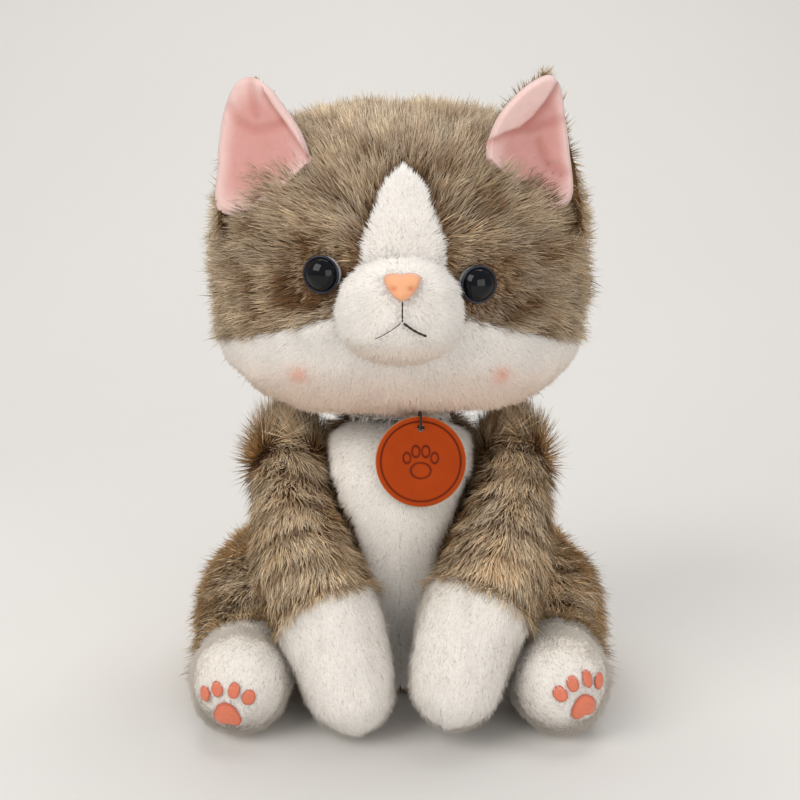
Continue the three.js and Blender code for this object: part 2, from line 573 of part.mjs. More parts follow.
function makeArm(side) {
  const { point, along } = limbFrame(ARM_STOPS, side.sign, SOCK_START);
  const lift = THREE.MathUtils.degToRad(side.pawLift);
  const shoulder = shoulderOf(side);
  point.sub(shoulder).applyAxisAngle(armHinge(side), lift).add(shoulder);
  along.applyAxisAngle(armHinge(side), lift);
  const names = {
    upper: `${side.name}_arm_sleeve`, lower: `${side.name}_paw_sock`, fill: `${side.name}_arm_stuffing`,
  };
  return limbPieces(names, (grow) => armShape(side, grow), point, along);
}

/** The outline of a paw's rounded-triangle main pad. */
function mainPadOutline() {
  const { halfWidth, height } = MAIN_PAD;
  const shape = new THREE.Shape();
  shape.moveTo(0, height * 0.5);
  shape.quadraticCurveTo(halfWidth * 0.55, height * 0.5, halfWidth * 0.8, 0);
  shape.quadraticCurveTo(halfWidth * 1.15, -height * 0.5, halfWidth * 0.55, -height * 0.5);
  shape.quadraticCurveTo(0, -height * 0.36, -halfWidth * 0.55, -height * 0.5);
  shape.quadraticCurveTo(-halfWidth * 1.15, -height * 0.5, -halfWidth * 0.8, 0);
  shape.quadraticCurveTo(-halfWidth * 0.55, height * 0.5, 0, height * 0.5);
  return shape;
}

function toePadOutline() {
  const shape = new THREE.Shape();
  shape.absellipse(0, 0, TOE_PAD.halfWidth, TOE_PAD.halfHeight, 0, 2 * Math.PI);
  return shape;
}

function makeLeg(side) {
  const { point, along } = limbFrame(LEG_STOPS, side.sign, FOOT_START);
  const names = {
    upper: `${side.name}_haunch_cover`, lower: `${side.name}_foot_cover`, fill: `${side.name}_leg_stuffing`,
  };
  const foot = LEG_STOPS.at(-1);
  const centre = new THREE.Vector3(side.sign * foot[0], foot[1], foot[2]);
  const skin = legShape(side, PAD_THICKNESS + REST_GAP).subtract(legShape(side, REST_GAP));
  const pad = (outline, x, z, tilt) => {
    const block = new THREE.ExtrudeGeometry(outline, { depth: 2 * foot[3], bevelEnabled: false, curveSegments: 3 })
      .rotateZ(THREE.MathUtils.degToRad(tilt)).translate(x, z, 0)
      .rotateZ(THREE.MathUtils.degToRad(side.padRoll)).rotateX(Math.PI / 2)
      .translate(0, 0, side.padRise).rotateZ(THREE.MathUtils.degToRad(side.sign * side.footTurn))
      .translate(centre.x, centre.y, centre.z);
    return solidOf(block).intersect(skin);
  };
  return [
    ...limbPieces(names, (grow) => legShape(side, grow), point, along),
    piece(`${side.name}_main_pad`, pad(mainPadOutline(), 0, MAIN_PAD.z, 0), PAD_SATIN),
    ...TOE_PADS.map((toe) => piece(`${side.name}_${toe.name}_toe_pad`,
      pad(toePadOutline(), side.sign * toe.x, toe.z, -side.sign * toe.tilt), PAD_SATIN)),
  ];
}

function makeTail() {
  const cover = tailShape().subtract(tailShape(-LIMB_WALL));
  const openEnd = new THREE.Vector3(0, TAIL_STOPS[0][1] - TAIL_OVERLAP, 0);
  return [
    piece('tail_cover', cover.intersect(beyond(openEnd, BACKWARD)), BROWN_FUR),
    piece('tail_stuffing', tailShape(-LIMB_WALL - FILL_GAP), STUFFING),
  ];
}

// ---- tag ----------------------------------------------------------------------------------------
function makeTag() {
  const outline = new THREE.Shape();
  outline.absarc(0, 0, TAG.radius, 0, 2 * Math.PI);
  const hole = new THREE.Path();
  hole.absarc(0, TAG.holeUp, TAG.holeRadius, 0, 2 * Math.PI);
  outline.holes.push(hole);
  const disc = new THREE.ExtrudeGeometry(outline, { depth: TAG.thickness, bevelEnabled: false, curveSegments: 14 })
    .translate(0, 0, -TAG.thickness / 2).rotateX(Math.PI / 2)
    .rotateX(THREE.MathUtils.degToRad(-TAG.lean))
    .translate(TAG_CENTRE.x, TAG_CENTRE.y, TAG_CENTRE.z);
  const route = TAG_CORD_ROUTE.map(([x, y, z]) => new THREE.Vector3(x, y, z));
  return [
    piece('tag_disc', solidOf(disc), TAG_LEATHER),
    piece('tag_cord', thread(route, TAG_CORD_DIAMETER, 22), DARK_THREAD),
  ];
}

// ---- assembly -----------------------------------------------------------------------------------
const group = new THREE.Group();
group.add(...makeTorso(), ...makeNeck(), ...makeHead(), ...makeTail(), ...makeTag());
for (const side of SIDES) {
  group.add(...makeArm(side), ...makeLeg(side));
}

export default group;
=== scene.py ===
"""A seated plush cat: fur covers, face, ears, pads and tag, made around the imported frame.

Lengths are metres, but the outlines of ears, nose, mouth and tag are drawn in millimetres. The cat
faces -Y, +X is its own left side and +Z is up.
"""

import json
import math

import bpy
import numpy as np
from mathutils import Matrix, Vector
from mathutils.bvhtree import BVHTree


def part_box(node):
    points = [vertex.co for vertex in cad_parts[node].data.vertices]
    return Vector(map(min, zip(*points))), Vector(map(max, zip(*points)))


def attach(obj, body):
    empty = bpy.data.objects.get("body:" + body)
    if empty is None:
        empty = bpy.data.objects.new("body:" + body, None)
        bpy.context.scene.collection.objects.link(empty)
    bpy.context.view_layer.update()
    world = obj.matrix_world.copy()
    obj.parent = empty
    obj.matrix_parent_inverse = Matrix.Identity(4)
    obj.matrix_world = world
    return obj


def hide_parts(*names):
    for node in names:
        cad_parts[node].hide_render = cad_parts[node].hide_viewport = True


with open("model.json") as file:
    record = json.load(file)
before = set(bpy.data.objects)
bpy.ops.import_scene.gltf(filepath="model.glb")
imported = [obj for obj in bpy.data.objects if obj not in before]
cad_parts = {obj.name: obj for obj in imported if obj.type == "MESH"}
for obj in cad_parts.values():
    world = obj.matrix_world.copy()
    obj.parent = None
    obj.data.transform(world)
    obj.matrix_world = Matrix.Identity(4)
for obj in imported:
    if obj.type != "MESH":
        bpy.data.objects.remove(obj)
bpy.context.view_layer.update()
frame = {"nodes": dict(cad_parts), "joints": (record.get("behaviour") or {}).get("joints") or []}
MM = 0.001
SIDES = {"left": 1.0, "right": -1.0}

# ---- camera -------------------------------------------------------------------------------------
CAMERA_PLACE = (0.0, -0.703, 0.288)
CAMERA_PITCH = 12.0  # degrees below level
LENS_MM = 65.25

camera_data = bpy.data.cameras.new("camera")
camera_data.lens = LENS_MM
camera_data.sensor_width = 36.0
camera = bpy.data.objects.new("camera", camera_data)
camera.location = CAMERA_PLACE
camera.rotation_euler = (math.radians(90.0 - CAMERA_PITCH), 0.0, 0.0)
bpy.context.scene.collection.objects.link(camera)
bpy.context.scene.camera = camera


# ---- numbers on arrays --------------------------------------------------------------------------
def unit(v):
    """Rows scaled to length 1."""
    return v / np.maximum(np.linalg.norm(v, axis=-1, keepdims=True), 1e-12)


def smoothstep(x, low, high):
    t = np.clip((x - low) / (high - low), 0.0, 1.0)
    return t * t * (3.0 - 2.0 * t)


def mix(a, b, share):
    share = np.asarray(share)[..., None]
    return np.asarray(a) * (1.0 - share) + np.asarray(b) * share


def lattice_noise(points, cell, seed):
    """Smooth random values from -1 to 1, one per point, that change over about a cell."""
    q = points / cell
    base = np.floor(q).astype(np.int64)
    part = q - base
    part = part * part * (3.0 - 2.0 * part)
    total = np.zeros(len(points))
    for corner in range(8):
        step = np.array([corner & 1, (corner >> 1) & 1, corner >> 2])
        at = base + step
        mixed = at[:, 0] * 73856093 ^ at[:, 1] * 19349663 ^ at[:, 2] * 83492791 ^ seed * 2654435761
        mixed = (mixed ^ (mixed >> 13)) * 1274126177 & 0x7FFFFFFF
        value = (mixed % 65536) / 32767.5 - 1.0
        weight = np.prod(np.where(step, part, 1.0 - part), axis=1)
        total += value * weight
    return total


def vector_noise(points, cell, seed):
    return np.stack([lattice_noise(points, cell, seed + i) for i in range(3)], axis=1)


def srgb(r, g, b):
    """A colour as seen on a screen, 0 to 255, as the linear light that shaders use."""
    c = np.array([r, g, b]) / 255.0
    return np.where(c <= 0.04045, c / 12.92, ((c + 0.055) / 1.055) ** 2.4)


# ---- meshes -------------------------------------------------------------------------------------
def new_object(name, verts, faces, smooth=True):
    mesh = bpy.data.meshes.new(name)
    mesh.from_pydata([tuple(v) for v in verts], [], [tuple(f) for f in faces])
    mesh.validate()
    obj = bpy.data.objects.new(name, mesh)
    bpy.context.scene.collection.objects.link(obj)
    if smooth:
        mesh.shade_smooth()
    return obj


def applied(obj):
    """Replaces an object's mesh with what its modifiers make of it."""
    graph = bpy.context.evaluated_depsgraph_get()
    made = bpy.data.meshes.new_from_object(obj.evaluated_get(graph))
    old = obj.data
    obj.modifiers.clear()
    obj.data = made
    bpy.data.meshes.remove(old)
    made.name = obj.name
    return obj


def places(mesh):
    out = np.empty(len(mesh.vertices) * 3)
    mesh.vertices.foreach_get("co", out)
    return out.reshape(-1, 3)


def set_places(mesh, points):
    mesh.vertices.foreach_set("co", np.ascontiguousarray(points, dtype=np.float32).ravel())
    mesh.update()


def vertex_normals(mesh):
    out = np.empty(len(mesh.vertices) * 3)
    mesh.vertex_normals.foreach_get("vector", out)
    return out.reshape(-1, 3)


def triangles(mesh):
    mesh.calc_loop_triangles()
    out = np.empty(len(mesh.loop_triangles) * 3, dtype=np.int64)
    mesh.loop_triangles.foreach_get("vertices", out)
    return out.reshape(-1, 3)


def node_mesh(names):
    """The CAD nodes' points and triangles, joined."""
    points, faces, start = [], [], 0
    for name in names:
        mesh = frame["nodes"][name].data
        p = places(mesh)
        points.append(p)
        faces.append(triangles(mesh) + start)
        start += len(p)
    return np.concatenate(points), np.concatenate(faces)


def tree_of(names):
    points, faces = node_mesh(names)
    return BVHTree.FromPolygons(points.tolist(), faces.tolist())


def distances(tree, points):
    return np.array([tree.find_nearest(Vector(p))[3] for p in points])


def set_colours(mesh, name, colours):
    attribute = mesh.color_attributes.new(name, "FLOAT_COLOR", "POINT")
    rgba = np.ones((len(colours), 4), dtype=np.float32)
    rgba[:, :3] = colours
    attribute.data.foreach_set("color", rgba.ravel())


def lofted(name, verts, rings, sides):
    """A piece through rings of points, with closed ends."""
    faces = []
    for i in range(rings - 1):
        for j in range(sides):
            k = (j + 1) % sides
            faces.append((i * sides + j, i * sides + k, (i + 1) * sides + k, (i + 1) * sides + j))
    last = (rings - 1) * sides
    faces += [tuple(range(sides - 1, -1, -1)), tuple(last + j for j in range(sides))]
    return new_object(name, verts, faces)


def tube(name, points, radius, sides=10):
    """A round thread along points."""
    points = np.asarray(points, dtype=float)
    along = unit(np.gradient(points, axis=0))
    side = unit(np.cross(along, np.array([0.31, 0.17, 0.93])))
    up = np.cross(side, along)
    angle = np.linspace(0.0, 2.0 * math.pi, sides, endpoint=False)
    ring = np.cos(angle)[None, :, None] * side[:, None] + np.sin(angle)[None, :, None] * up[:, None]
    radius = np.broadcast_to(radius, (len(points),))
    verts = (points[:, None] + ring * radius[:, None, None]).reshape(-1, 3)
    return lofted(name, verts, len(points), sides)


def spline(points, count):
    """Points along a smooth curve through the given ones (Catmull-Rom), evenly in their index."""
    p = np.asarray(points, dtype=float)
    p = np.vstack([2 * p[0] - p[1], p, 2 * p[-1] - p[-2]])
    t = np.linspace(0.0, len(p) - 3 - 1e-9, count)
    i = t.astype(int)
    f = (t - i)[:, None]
    a, b, c, d = p[i], p[i + 1], p[i + 2], p[i + 3]
    return 0.5 * (2 * b + (c - a) * f + (2 * a - 5 * b + 4 * c - d) * f**2
                  + (3 * b - a - 3 * c + d) * f**3)


# ---- materials ----------------------------------------------------------------------------------
class Look:
    """A material with a principled shader, and short ways to add nodes to it."""

    def __init__(self, name, roughness, **constants):
        self.material = bpy.data.materials.new(name)
        self.material.use_nodes = True
        self.tree = self.material.node_tree
        self.shader = self.tree.nodes["Principled BSDF"]
        self.set("Roughness", roughness)
        for socket, value in constants.items():
            self.set(socket.replace("_", " "), value)

    def set(self, socket, value):
        self.shader.inputs[socket].default_value = value

    def node(self, kind, **settings):
        made = self.tree.nodes.new(kind)
        for key, value in settings.items():
            setattr(made, key, value)
        return made

    def link(self, out, into):
        self.tree.links.new(out, into)

    def noise(self, scale, detail=3.0, stretch=None):
        """A noise texture on the piece's own coordinates."""
        place = self.node("ShaderNodeTexCoord")
        made = self.node("ShaderNodeTexNoise")
        made.inputs["Scale"].default_value = scale
        made.inputs["Detail"].default_value = detail
        source = place.outputs["Object"]
        if stretch:
            mapping = self.node("ShaderNodeMapping")
            mapping.inputs["Scale"].default_value = stretch
            self.link(source, mapping.inputs["Vector"])
            source = mapping.outputs["Vector"]
        self.link(source, made.inputs["Vector"])
        return made.outputs["Fac"]

    def ramp(self, fac, stops):
        made = self.node("ShaderNodeValToRGB")
        elements = made.color_ramp.elements
        while len(elements) < len(stops):
            elements.new(0.5)
        for element, (at, colour) in zip(elements, stops):
            element.position = at
            element.color = (*colour, 1.0)
        self.link(fac, made.inputs["Fac"])
        return made.outputs["Color"]

    def attribute(self, name):
        return self.node("ShaderNodeAttribute", attribute_name=name).outputs["Color"]

    def multiply(self, a, b, share=1.0):
        made = self.node("ShaderNodeMix", data_type="RGBA", blend_type="MULTIPLY")
        made.inputs["Factor"].default_value = share
        self.link(a, made.inputs[6])
        self.link(b, made.inputs[7])
        return made.outputs[2]

    def colour(self, out):
        self.link(out, self.shader.inputs["Base Color"])
        return self

    def painted(self, fac, low, high, attribute="tint"):
        """The colour painted on the piece, darkened or lightened a little by a texture."""
        shade = self.ramp(fac, [(0.3, (low,) * 3), (0.7, (high,) * 3)])
        return self.colour(self.multiply(self.attribute(attribute), shade))

    def between(self, fac, low, high, stops=(0.3, 0.7)):
        """A colour that wanders between two with a texture."""
        return self.colour(self.ramp(fac, list(zip(stops, (low, high)))))

    def bump(self, height, distance, strength=1.0):
        made = self.node("ShaderNodeBump")
        made.inputs["Distance"].default_value = distance
        made.inputs["Strength"].default_value = strength
        self.link(height, made.inputs["Height"])
        self.link(made.outputs["Normal"], self.shader.inputs["Normal"])
        return self


def pile_look(name, roughness):
    look = Look(name, roughness, Specular_IOR_Level=0.22)
    return look.painted(look.noise(900.0, 2.0), 0.86, 1.0, "pile").material


def backing_look(name):
    look = Look(name, 0.95, Specular_IOR_Level=0.1)
    grain = look.noise(700.0, 4.0)
    return look.painted(grain, 0.6, 1.0, "pile").bump(grain, 0.8 * MM).material


BROWN_PILE = pile_look("brown_pile", 0.62)
WHITE_PILE = pile_look("white_pile", 0.85)
BACKING = backing_look("fur_backing")


# ---- fur colours --------------------------------------------------------------------------------
ROOT_BROWN = srgb(112, 80, 50)
MIDDLE_BROWN = srgb(152, 123, 92)
TIP_BROWN = srgb(222, 202, 172)
DARK_ROOT = srgb(56, 38, 22)
DARK_MIDDLE = srgb(104, 72, 42)
DARK_TIP = srgb(138, 102, 66)
PALE_MIDDLE = srgb(236, 200, 152)
PALE_TIP = srgb(254, 238, 208)
WHITE_ROOT = srgb(246, 240, 232)
WHITE_TIP = srgb(250, 246, 240)
WARM_WHITE = srgb(244, 216, 194)
BLUSH = srgb(246, 160, 126)
CHIN_TINT = srgb(236, 206, 180)

# ---- pile ---------------------------------------------------------------------------------------
# Lengths and widths of strands; lift is the angle between a strand's root and the cloth; droop is
# how far its tip lies over; jitter spreads directions and vary lengths; clump draws tips together in
# tufts of a cell.
LONG_PILE = {"length": 10.5 * MM, "width": 0.34 * MM, "per_mm2": 2.1, "lift": 46.0, "levels": 4,
             "jitter": 0.25, "clump": 0.32, "cell": 3.0 * MM, "droop": 0.5, "vary": 0.2}
SHORT_PILE = {"length": 3.8 * MM, "width": 0.36 * MM, "per_mm2": 3.0, "lift": 32.0, "levels": 3,
              "jitter": 0.13, "clump": 0.04, "cell": 2.2 * MM, "droop": 0.1, "vary": 0.14}
SPARSE = 1.0
LONG_INSET = 6.0 * MM  # how far the cloth lies under the pile's outer surface
SHORT_INSET = 0.9 * MM
SEAM_BLEND = 2.5 * MM  # to each side of a seam between brown and white
SEAM_SCATTER = 0.6 * MM  # how far roots of one colour stray into the other
FLOOR_GAP = 0.3 * MM


class Skin:
    """A stuffed cover's cloth, drawn in from its CAD nodes to leave room for the pile."""

    def __init__(self, name, nodes, white_depth, near=None, voxel=3.0 * MM, smooth_steps=10, inset=1.0):
        self.name = name
        self.object = self.shell(f"{name}_cloth", nodes, voxel, smooth_steps)
        mesh = self.object.data
        outer = places(mesh)
        self.white = white_depth(outer)
        share = smoothstep(self.white, -SEAM_BLEND, SEAM_BLEND)
        above_floor = 0.2 + 0.8 * smoothstep(outer[:, 2], 0.0, 15.0 * MM)
        depth = (LONG_INSET * (1.0 - share) + SHORT_INSET * share) * above_floor * inset
        set_places(mesh, outer - vertex_normals(mesh) * depth[:, None])
        self.points = places(mesh)
        self.normals = vertex_normals(mesh)
        self.faces = triangles(mesh)
        self.room = distances(near, self.points) if near else np.full(len(outer), 1.0)
        set_colours(mesh, "pile", mix(np.broadcast_to(ROOT_BROWN, outer.shape), WHITE_ROOT, share))
        mesh.materials.append(BACKING)

    @staticmethod
    def shell(name, nodes, voxel, smooth_steps):
        points, faces = node_mesh(nodes)
        made = new_object(name, points, faces)
        remesh = made.modifiers.new("remesh", "REMESH")
        remesh.mode = "VOXEL"
        remesh.voxel_size = voxel
        smooth = made.modifiers.new("smooth", "SMOOTH")
        smooth.factor = 0.5
        smooth.iterations = smooth_steps
        applied(made)
        made.data.shade_smooth()
        return made

    def roots(self, per_mm2, rng):
        """Random places on the cloth, and a function that carries values at its points to them."""
        a, b, c = (self.points[self.faces[:, i]] for i in range(3))
        area = 0.5 * np.linalg.norm(np.cross(b - a, c - a), axis=1)
        count = int(area.sum() / MM**2 * per_mm2 * SPARSE)
        corners = self.faces[rng.choice(len(area), size=count, p=area / area.sum())]
        u, v = rng.random(count), rng.random(count)
        over = u + v > 1.0
        u[over], v[over] = 1.0 - u[over], 1.0 - v[over]
        weights = np.stack([1.0 - u - v, u, v], axis=1)

        def carried(values):
            return np.einsum("ij,ij...->i...", weights, values[corners])

        return carried(self.points), carried


def white_side(brown, white):
    """Depth into the white panels, in metres, of points on a cover; negative in the brown ones."""
    if not white:
        return lambda points: np.full(len(points), -1.0)
    if not brown:
        return lambda points: np.full(len(points), 1.0)
    brown_tree, white_tree = tree_of(brown), tree_of(white)
    return lambda points: distances(brown_tree, points) - distances(white_tree, points)


def tufts(roots, cell):
    """The middle of each root's tuft: of all roots in its own wavering cell."""
    key = np.floor((roots + vector_noise(roots, cell * 2.5, 7) * cell * 0.5) / cell).astype(np.int64)
    key = key[:, 0] * 73856093 ^ key[:, 1] * 19349663 ^ key[:, 2] * 83492791
    _, group = np.unique(key, return_inverse=True)
    sums = np.stack([np.bincount(group, roots[:, i]) for i in range(3)], axis=1)
    return (sums / np.bincount(group)[:, None])[group]


def strand_lines(roots, normals, flow, length, pile, rng):
    """Each strand's middle line, level by level, and the way that it starts."""
    count, levels = len(roots), pile["levels"]
    lift = math.radians(pile["lift"])
    flow = unit(flow - normals * (flow * normals).sum(axis=1, keepdims=True) + 1e-6)
    waver = vector_noise(roots, 14 * MM, 21) * 0.35 + vector_noise(roots, 5 * MM, 31) * 0.35
    flow = unit(flow + waver)
    start = unit(normals * math.sin(lift) + flow * math.cos(lift)
                 + rng.normal(0.0, pile["jitter"], (count, 3)))
    rise = (start * normals).sum(axis=1, keepdims=True)
    start = unit(start + normals * np.maximum(0.25 - rise, 0.0))
    end = unit(start * (1.0 - pile["droop"]) + (flow + normals * 0.12) * pile["droop"]
               + rng.normal(0.0, 0.12, (count, 3)))
    shares = np.linspace(0.0, 1.0, levels)
    line = [roots - normals * 0.4 * MM]
    for low, high in zip(shares, shares[1:]):
        heading = unit(start * (1.0 - high) + end * high)
        line.append(line[-1] + heading * (length * (high - low))[:, None])
    pull = (tufts(roots, pile["cell"]) - roots) * pile["clump"]
    line = np.stack(line, axis=1) + pull[:, None] * (shares**1.3)[None, :, None]
    line[:, :, 2] = np.maximum(line[:, :, 2], FLOOR_GAP)
    return line, start


def strands(name, roots, normals, flow, length, pile, stops, rng, material):
    """One mesh of flat tapering strands. stops are root, middle and tip colours, a row per strand."""
    count, levels = len(roots), pile["levels"]
    length = length * (1.0 + rng.normal(0.0, pile["vary"], count)).clip(0.45, 1.6)
    line, start = strand_lines(roots, normals, flow, length, pile, rng)
    twist = 0.1 if material is WHITE_PILE else 0.35
    side = unit(unit(np.cross(start, normals)) + rng.normal(0.0, twist, (count, 3)))
    wide = pile["width"] * (0.7 + 0.6 * rng.random(count))
    taper = np.interp(np.linspace(0.0, 1.0, levels), [0.0, 0.35, 0.75, 1.0], [0.9, 1.0, 0.7, 0.14])
    half = 0.5 * wide[:, None, None] * taper[None, :, None] * side[:, None]
    verts = np.stack([line - half, line + half], axis=2).reshape(-1, 3)
    step = 2 * np.arange(levels - 1)[:, None] + np.array([[0, 1, 3, 2]])
    quads = np.arange(count)[:, None, None] * 2 * levels + step[None]
    mesh = bpy.data.meshes.new(name)
    mesh.vertices.add(len(verts))
    mesh.vertices.foreach_set("co", verts.astype(np.float32).ravel())
    mesh.loops.add(quads.size)
    mesh.loops.foreach_set("vertex_index", quads.astype(np.int32).ravel())
    mesh.polygons.add(quads.size // 4)
    mesh.polygons.foreach_set("loop_start", np.arange(quads.size // 4, dtype=np.int32) * 4)
    mesh.update(calc_edges=True)
    root, middle, tip = stops
    shares = np.linspace(0.0, 1.0, levels)
    bands = [mix(root, middle, np.full(count, share / 0.45)) if share < 0.45
             else mix(middle, tip, np.full(count, (share - 0.45) / 0.55)) for share in shares]
    set_colours(mesh, "pile", np.repeat(np.stack(bands, axis=1), 2, axis=1).reshape(-1, 3))
    strand_map(mesh, count, levels)
    shade = unit(normals * 0.9 + start * (0.08 if material is WHITE_PILE else 0.25))
    mesh.normals_split_custom_set_from_vertices(np.repeat(shade, 2 * levels, axis=0).astype(np.float32))
    obj = bpy.data.objects.new(name, mesh)
    obj.visible_shadow = material is not WHITE_PILE
    bpy.context.scene.collection.objects.link(obj)
    mesh.materials.append(material)
    return obj


def strand_map(mesh, count, levels):
    """A UV map that gives each strand a cell of its own."""
    across = math.ceil(math.sqrt(count))
    cell = 1.0 / across
    column, row = np.arange(count) % across, np.arange(count) // across
    height = np.linspace(0.1, 0.9, levels)
    corners = np.array([[0, 0], [1, 0], [1, 1], [0, 1]])
    uv = np.empty((count, levels - 1, 4, 2))
    for band in range(levels - 1):
        for corner, (right, upper) in enumerate(corners):
            uv[:, band, corner, 0] = (column + 0.15 + 0.7 * right) * cell
            uv[:, band, corner, 1] = (row + height[band + upper]) * cell
    layer = mesh.uv_layers.new(name="OFBake")
    layer.data.foreach_set("uv", uv.astype(np.float32).ravel())


def brown_stops(points, dark, pale, rng):
    """Root, middle and tip colours of brown strands from how dark and how pale each place is."""
    count = len(points)
    dark = np.clip(dark + rng.normal(0.0, 0.2, count), 0.0, 1.0)
    pale = np.clip(pale + rng.normal(0.0, 0.28, count), 0.0, 1.5)
    shade = (1.0 + rng.normal(0.0, 0.17, count)).clip(0.6, 1.4)[:, None]
    warm = 1.0 + lattice_noise(points, 9 * MM, 55)[:, None] * np.array([0.05, 0.0, -0.07])
    root = mix(np.broadcast_to(ROOT_BROWN, (count, 3)), DARK_ROOT, dark)
    middle = mix(mix(np.broadcast_to(MIDDLE_BROWN, (count, 3)), PALE_MIDDLE, pale), DARK_MIDDLE, dark)
    tip = mix(mix(np.broadcast_to(TIP_BROWN, (count, 3)), PALE_TIP, pale), DARK_TIP, dark)
    return root * shade * warm, middle * shade * warm, tip * shade * warm


def white_stops(points, tint, rng):
    count = len(points)
    shade = (1.0 + rng.normal(0.0, 0.03, count))[:, None]
    root = np.broadcast_to(WHITE_ROOT, (count, 3)) * shade * tint
    tip = np.broadcast_to(WHITE_TIP, (count, 3)) * shade * tint
    return root, mix(root, tip, np.full(count, 0.6)), tip


def everywhere(value):
    return lambda points: np.full(len(points), value)


def furred(skin, body, covers, flow, dark=everywhere(0.0), pale=everywhere(0.4), tint=None,
           scale=everywhere(1.0), keep=None, density=1.0, long_pile=LONG_PILE, short_pile=SHORT_PILE):
    """Gives a skin its long brown pile and its short white one, and stands for its CAD nodes."""
    made = [skin.object]
    for colour, pile in (("brown", long_pile), ("white", short_pile)):
        white = colour == "white"
        if not (skin.white > 0.0 if white else skin.white <= 0.0).any():
            continue
        rng = np.random.default_rng(len(skin.name) * 31 + len(colour) * white)
        roots, carried = skin.roots(pile["per_mm2"] * density, rng)
        facing = unit(carried(skin.normals))
        depth = carried(skin.white) + rng.normal(0.0, SEAM_SCATTER, len(roots))
        room = carried(skin.room)
        stay = (depth > 0.0 if white else depth <= 0.0) & (room > 0.4 * MM) & (roots[:, 2] > 2.5 * MM)
        if keep:
            stay &= keep(roots, facing)
        roots, facing, room = roots[stay], facing[stay], room[stay]
        length = np.minimum(pile["length"], np.maximum(room * 1.1, 1.5 * MM)) * scale(roots)
        if white:
            stops = white_stops(roots, np.ones(3) if tint is None else tint(roots), rng)
        else:
            stops = brown_stops(roots, dark(roots), pale(roots), rng)
        made.append(strands(f"{skin.name}_{colour}_pile", roots, facing, flow(roots, facing), length, pile,
                            stops, rng, WHITE_PILE if white else BROWN_PILE))
    for obj in made:
        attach(obj, body)
    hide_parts(*covers)


def side_nodes(pattern):
    return [pattern.format(side) for side in SIDES]


def middle_of(node):
    low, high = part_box(node)
    return 0.5 * (np.array(low) + np.array(high))


def joint_place(name):
    joint = next(joint for joint in frame["joints"] if joint["name"] == name)
    return np.array(joint["pos_m"])


def far_from(place):
    return lambda points: np.linalg.norm(points - place, axis=1)


# ---- head ---------------------------------------------------------------------------------------
HEAD_WHITE = ["forehead_blaze", *side_nodes("{}_cheek_panel")]
HEAD_BROWN = ["head_back_panel", *side_nodes("{}_crown_panel")]
HEAD_NODES = [*HEAD_WHITE, *HEAD_BROWN, "head_stuffing"]
TORSO_BROWN = [*side_nodes("{}_body_panel"), "base_panel"]
TORSO_NODES = [*TORSO_BROWN, "chest_panel", "torso_stuffing"]
NOSE_AT = middle_of("nose")
EYE_AT = {side: middle_of(f"{side}_eye") for side in SIDES}
EYE_RADIUS = 7.8 * MM
BLUSH_AT = np.array([45.0, -66.0, 164.0]) * MM
BLUSH_RADIUS = 4.2 * MM


def head_flow(points, normals):
    """Pile combed away from the nose, upright on the crown and down at the sides and back."""
    away = unit(points - (NOSE_AT + np.array([0.0, 20 * MM, 6 * MM])))
    away[:, 2] += 0.25 * smoothstep(points[:, 2], 230 * MM, 275 * MM) - 0.1
    return away


def head_dark(points):
    patches = smoothstep(lattice_noise(points, 9 * MM, 3) + 0.8 * lattice_noise(points, 4 * MM, 4), 0.15, 0.7)
    near_eyes = np.zeros(len(points))
    for at in EYE_AT.values():
        near_eyes = np.maximum(near_eyes, 1.0 - smoothstep(far_from(at)(points), 10 * MM, 26 * MM))
    front = 1.0 - smoothstep(points[:, 1], -60 * MM, -20 * MM)
    sides = smoothstep(np.abs(points[:, 0]), 30 * MM, 60 * MM)
    sides *= 1.0 - smoothstep(points[:, 2], 225 * MM, 265 * MM)
    return 0.75 * patches * (0.5 + 0.5 * front) + 0.35 * near_eyes + 0.25 * sides * front


def head_pale(points):
    outer = smoothstep(np.abs(points[:, 0]), 45 * MM, 85 * MM)
    top = smoothstep(points[:, 2], 255 * MM, 285 * MM)
    streaks = lattice_noise(points, 7 * MM, 9) + 0.6 * lattice_noise(points, 3.5 * MM, 10)
    return 0.3 * np.maximum(outer, top) + 0.95 * streaks - 0.15


def head_tint(points):
    """White pile warms towards the chin, with a spot of blush on each cheek."""
    low = 1.0 - smoothstep(points[:, 2], 140 * MM, 180 * MM)
    tint = mix(np.ones((len(points), 3)), WARM_WHITE / WHITE_TIP, 0.9 * low)
    for sign in SIDES.values():
        spot = BLUSH_AT * np.array([sign, 1.0, 1.0])
        far = np.linalg.norm((points - spot) * np.array([1.0, 0.4, 1.0]), axis=1)
        tint = mix(tint, BLUSH / WHITE_TIP, 0.85 * np.exp(-((far / BLUSH_RADIUS) ** 2)))
    return tint


def head_scale(points):
    """Shorter pile around the eyes and the muzzle, longer on the cheeks."""
    scale = np.ones(len(points))
    for at in EYE_AT.values():
        scale *= 0.25 + 0.75 * smoothstep(far_from(at)(points), 9 * MM, 22 * MM)
    return scale * (1.0 + 0.5 * (1.0 - smoothstep(points[:, 2], 145 * MM, 170 * MM)))


def clear_of_eyes(points, facing):
    stay = np.ones(len(points), dtype=bool)
    for at in EYE_AT.values():
        stay &= far_from(at)(points) > EYE_RADIUS
    return stay


head_skin = Skin("head", HEAD_NODES, white_side(HEAD_BROWN, HEAD_WHITE), near=tree_of(["muzzle_cover"]))
furred(head_skin, "head", HEAD_NODES, head_flow, head_dark, head_pale, tint=head_tint, scale=head_scale,
       keep=clear_of_eyes)


# ---- muzzle -------------------------------------------------------------------------------------
MOUTH_TREE = tree_of(["mouth_stitch_middle", *[f"mouth_stitch_{side}" for side in SIDES]])
NOSE_TREE = tree_of(["nose"])
MUZZLE_LOW = np.array(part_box("muzzle_cover")[0])


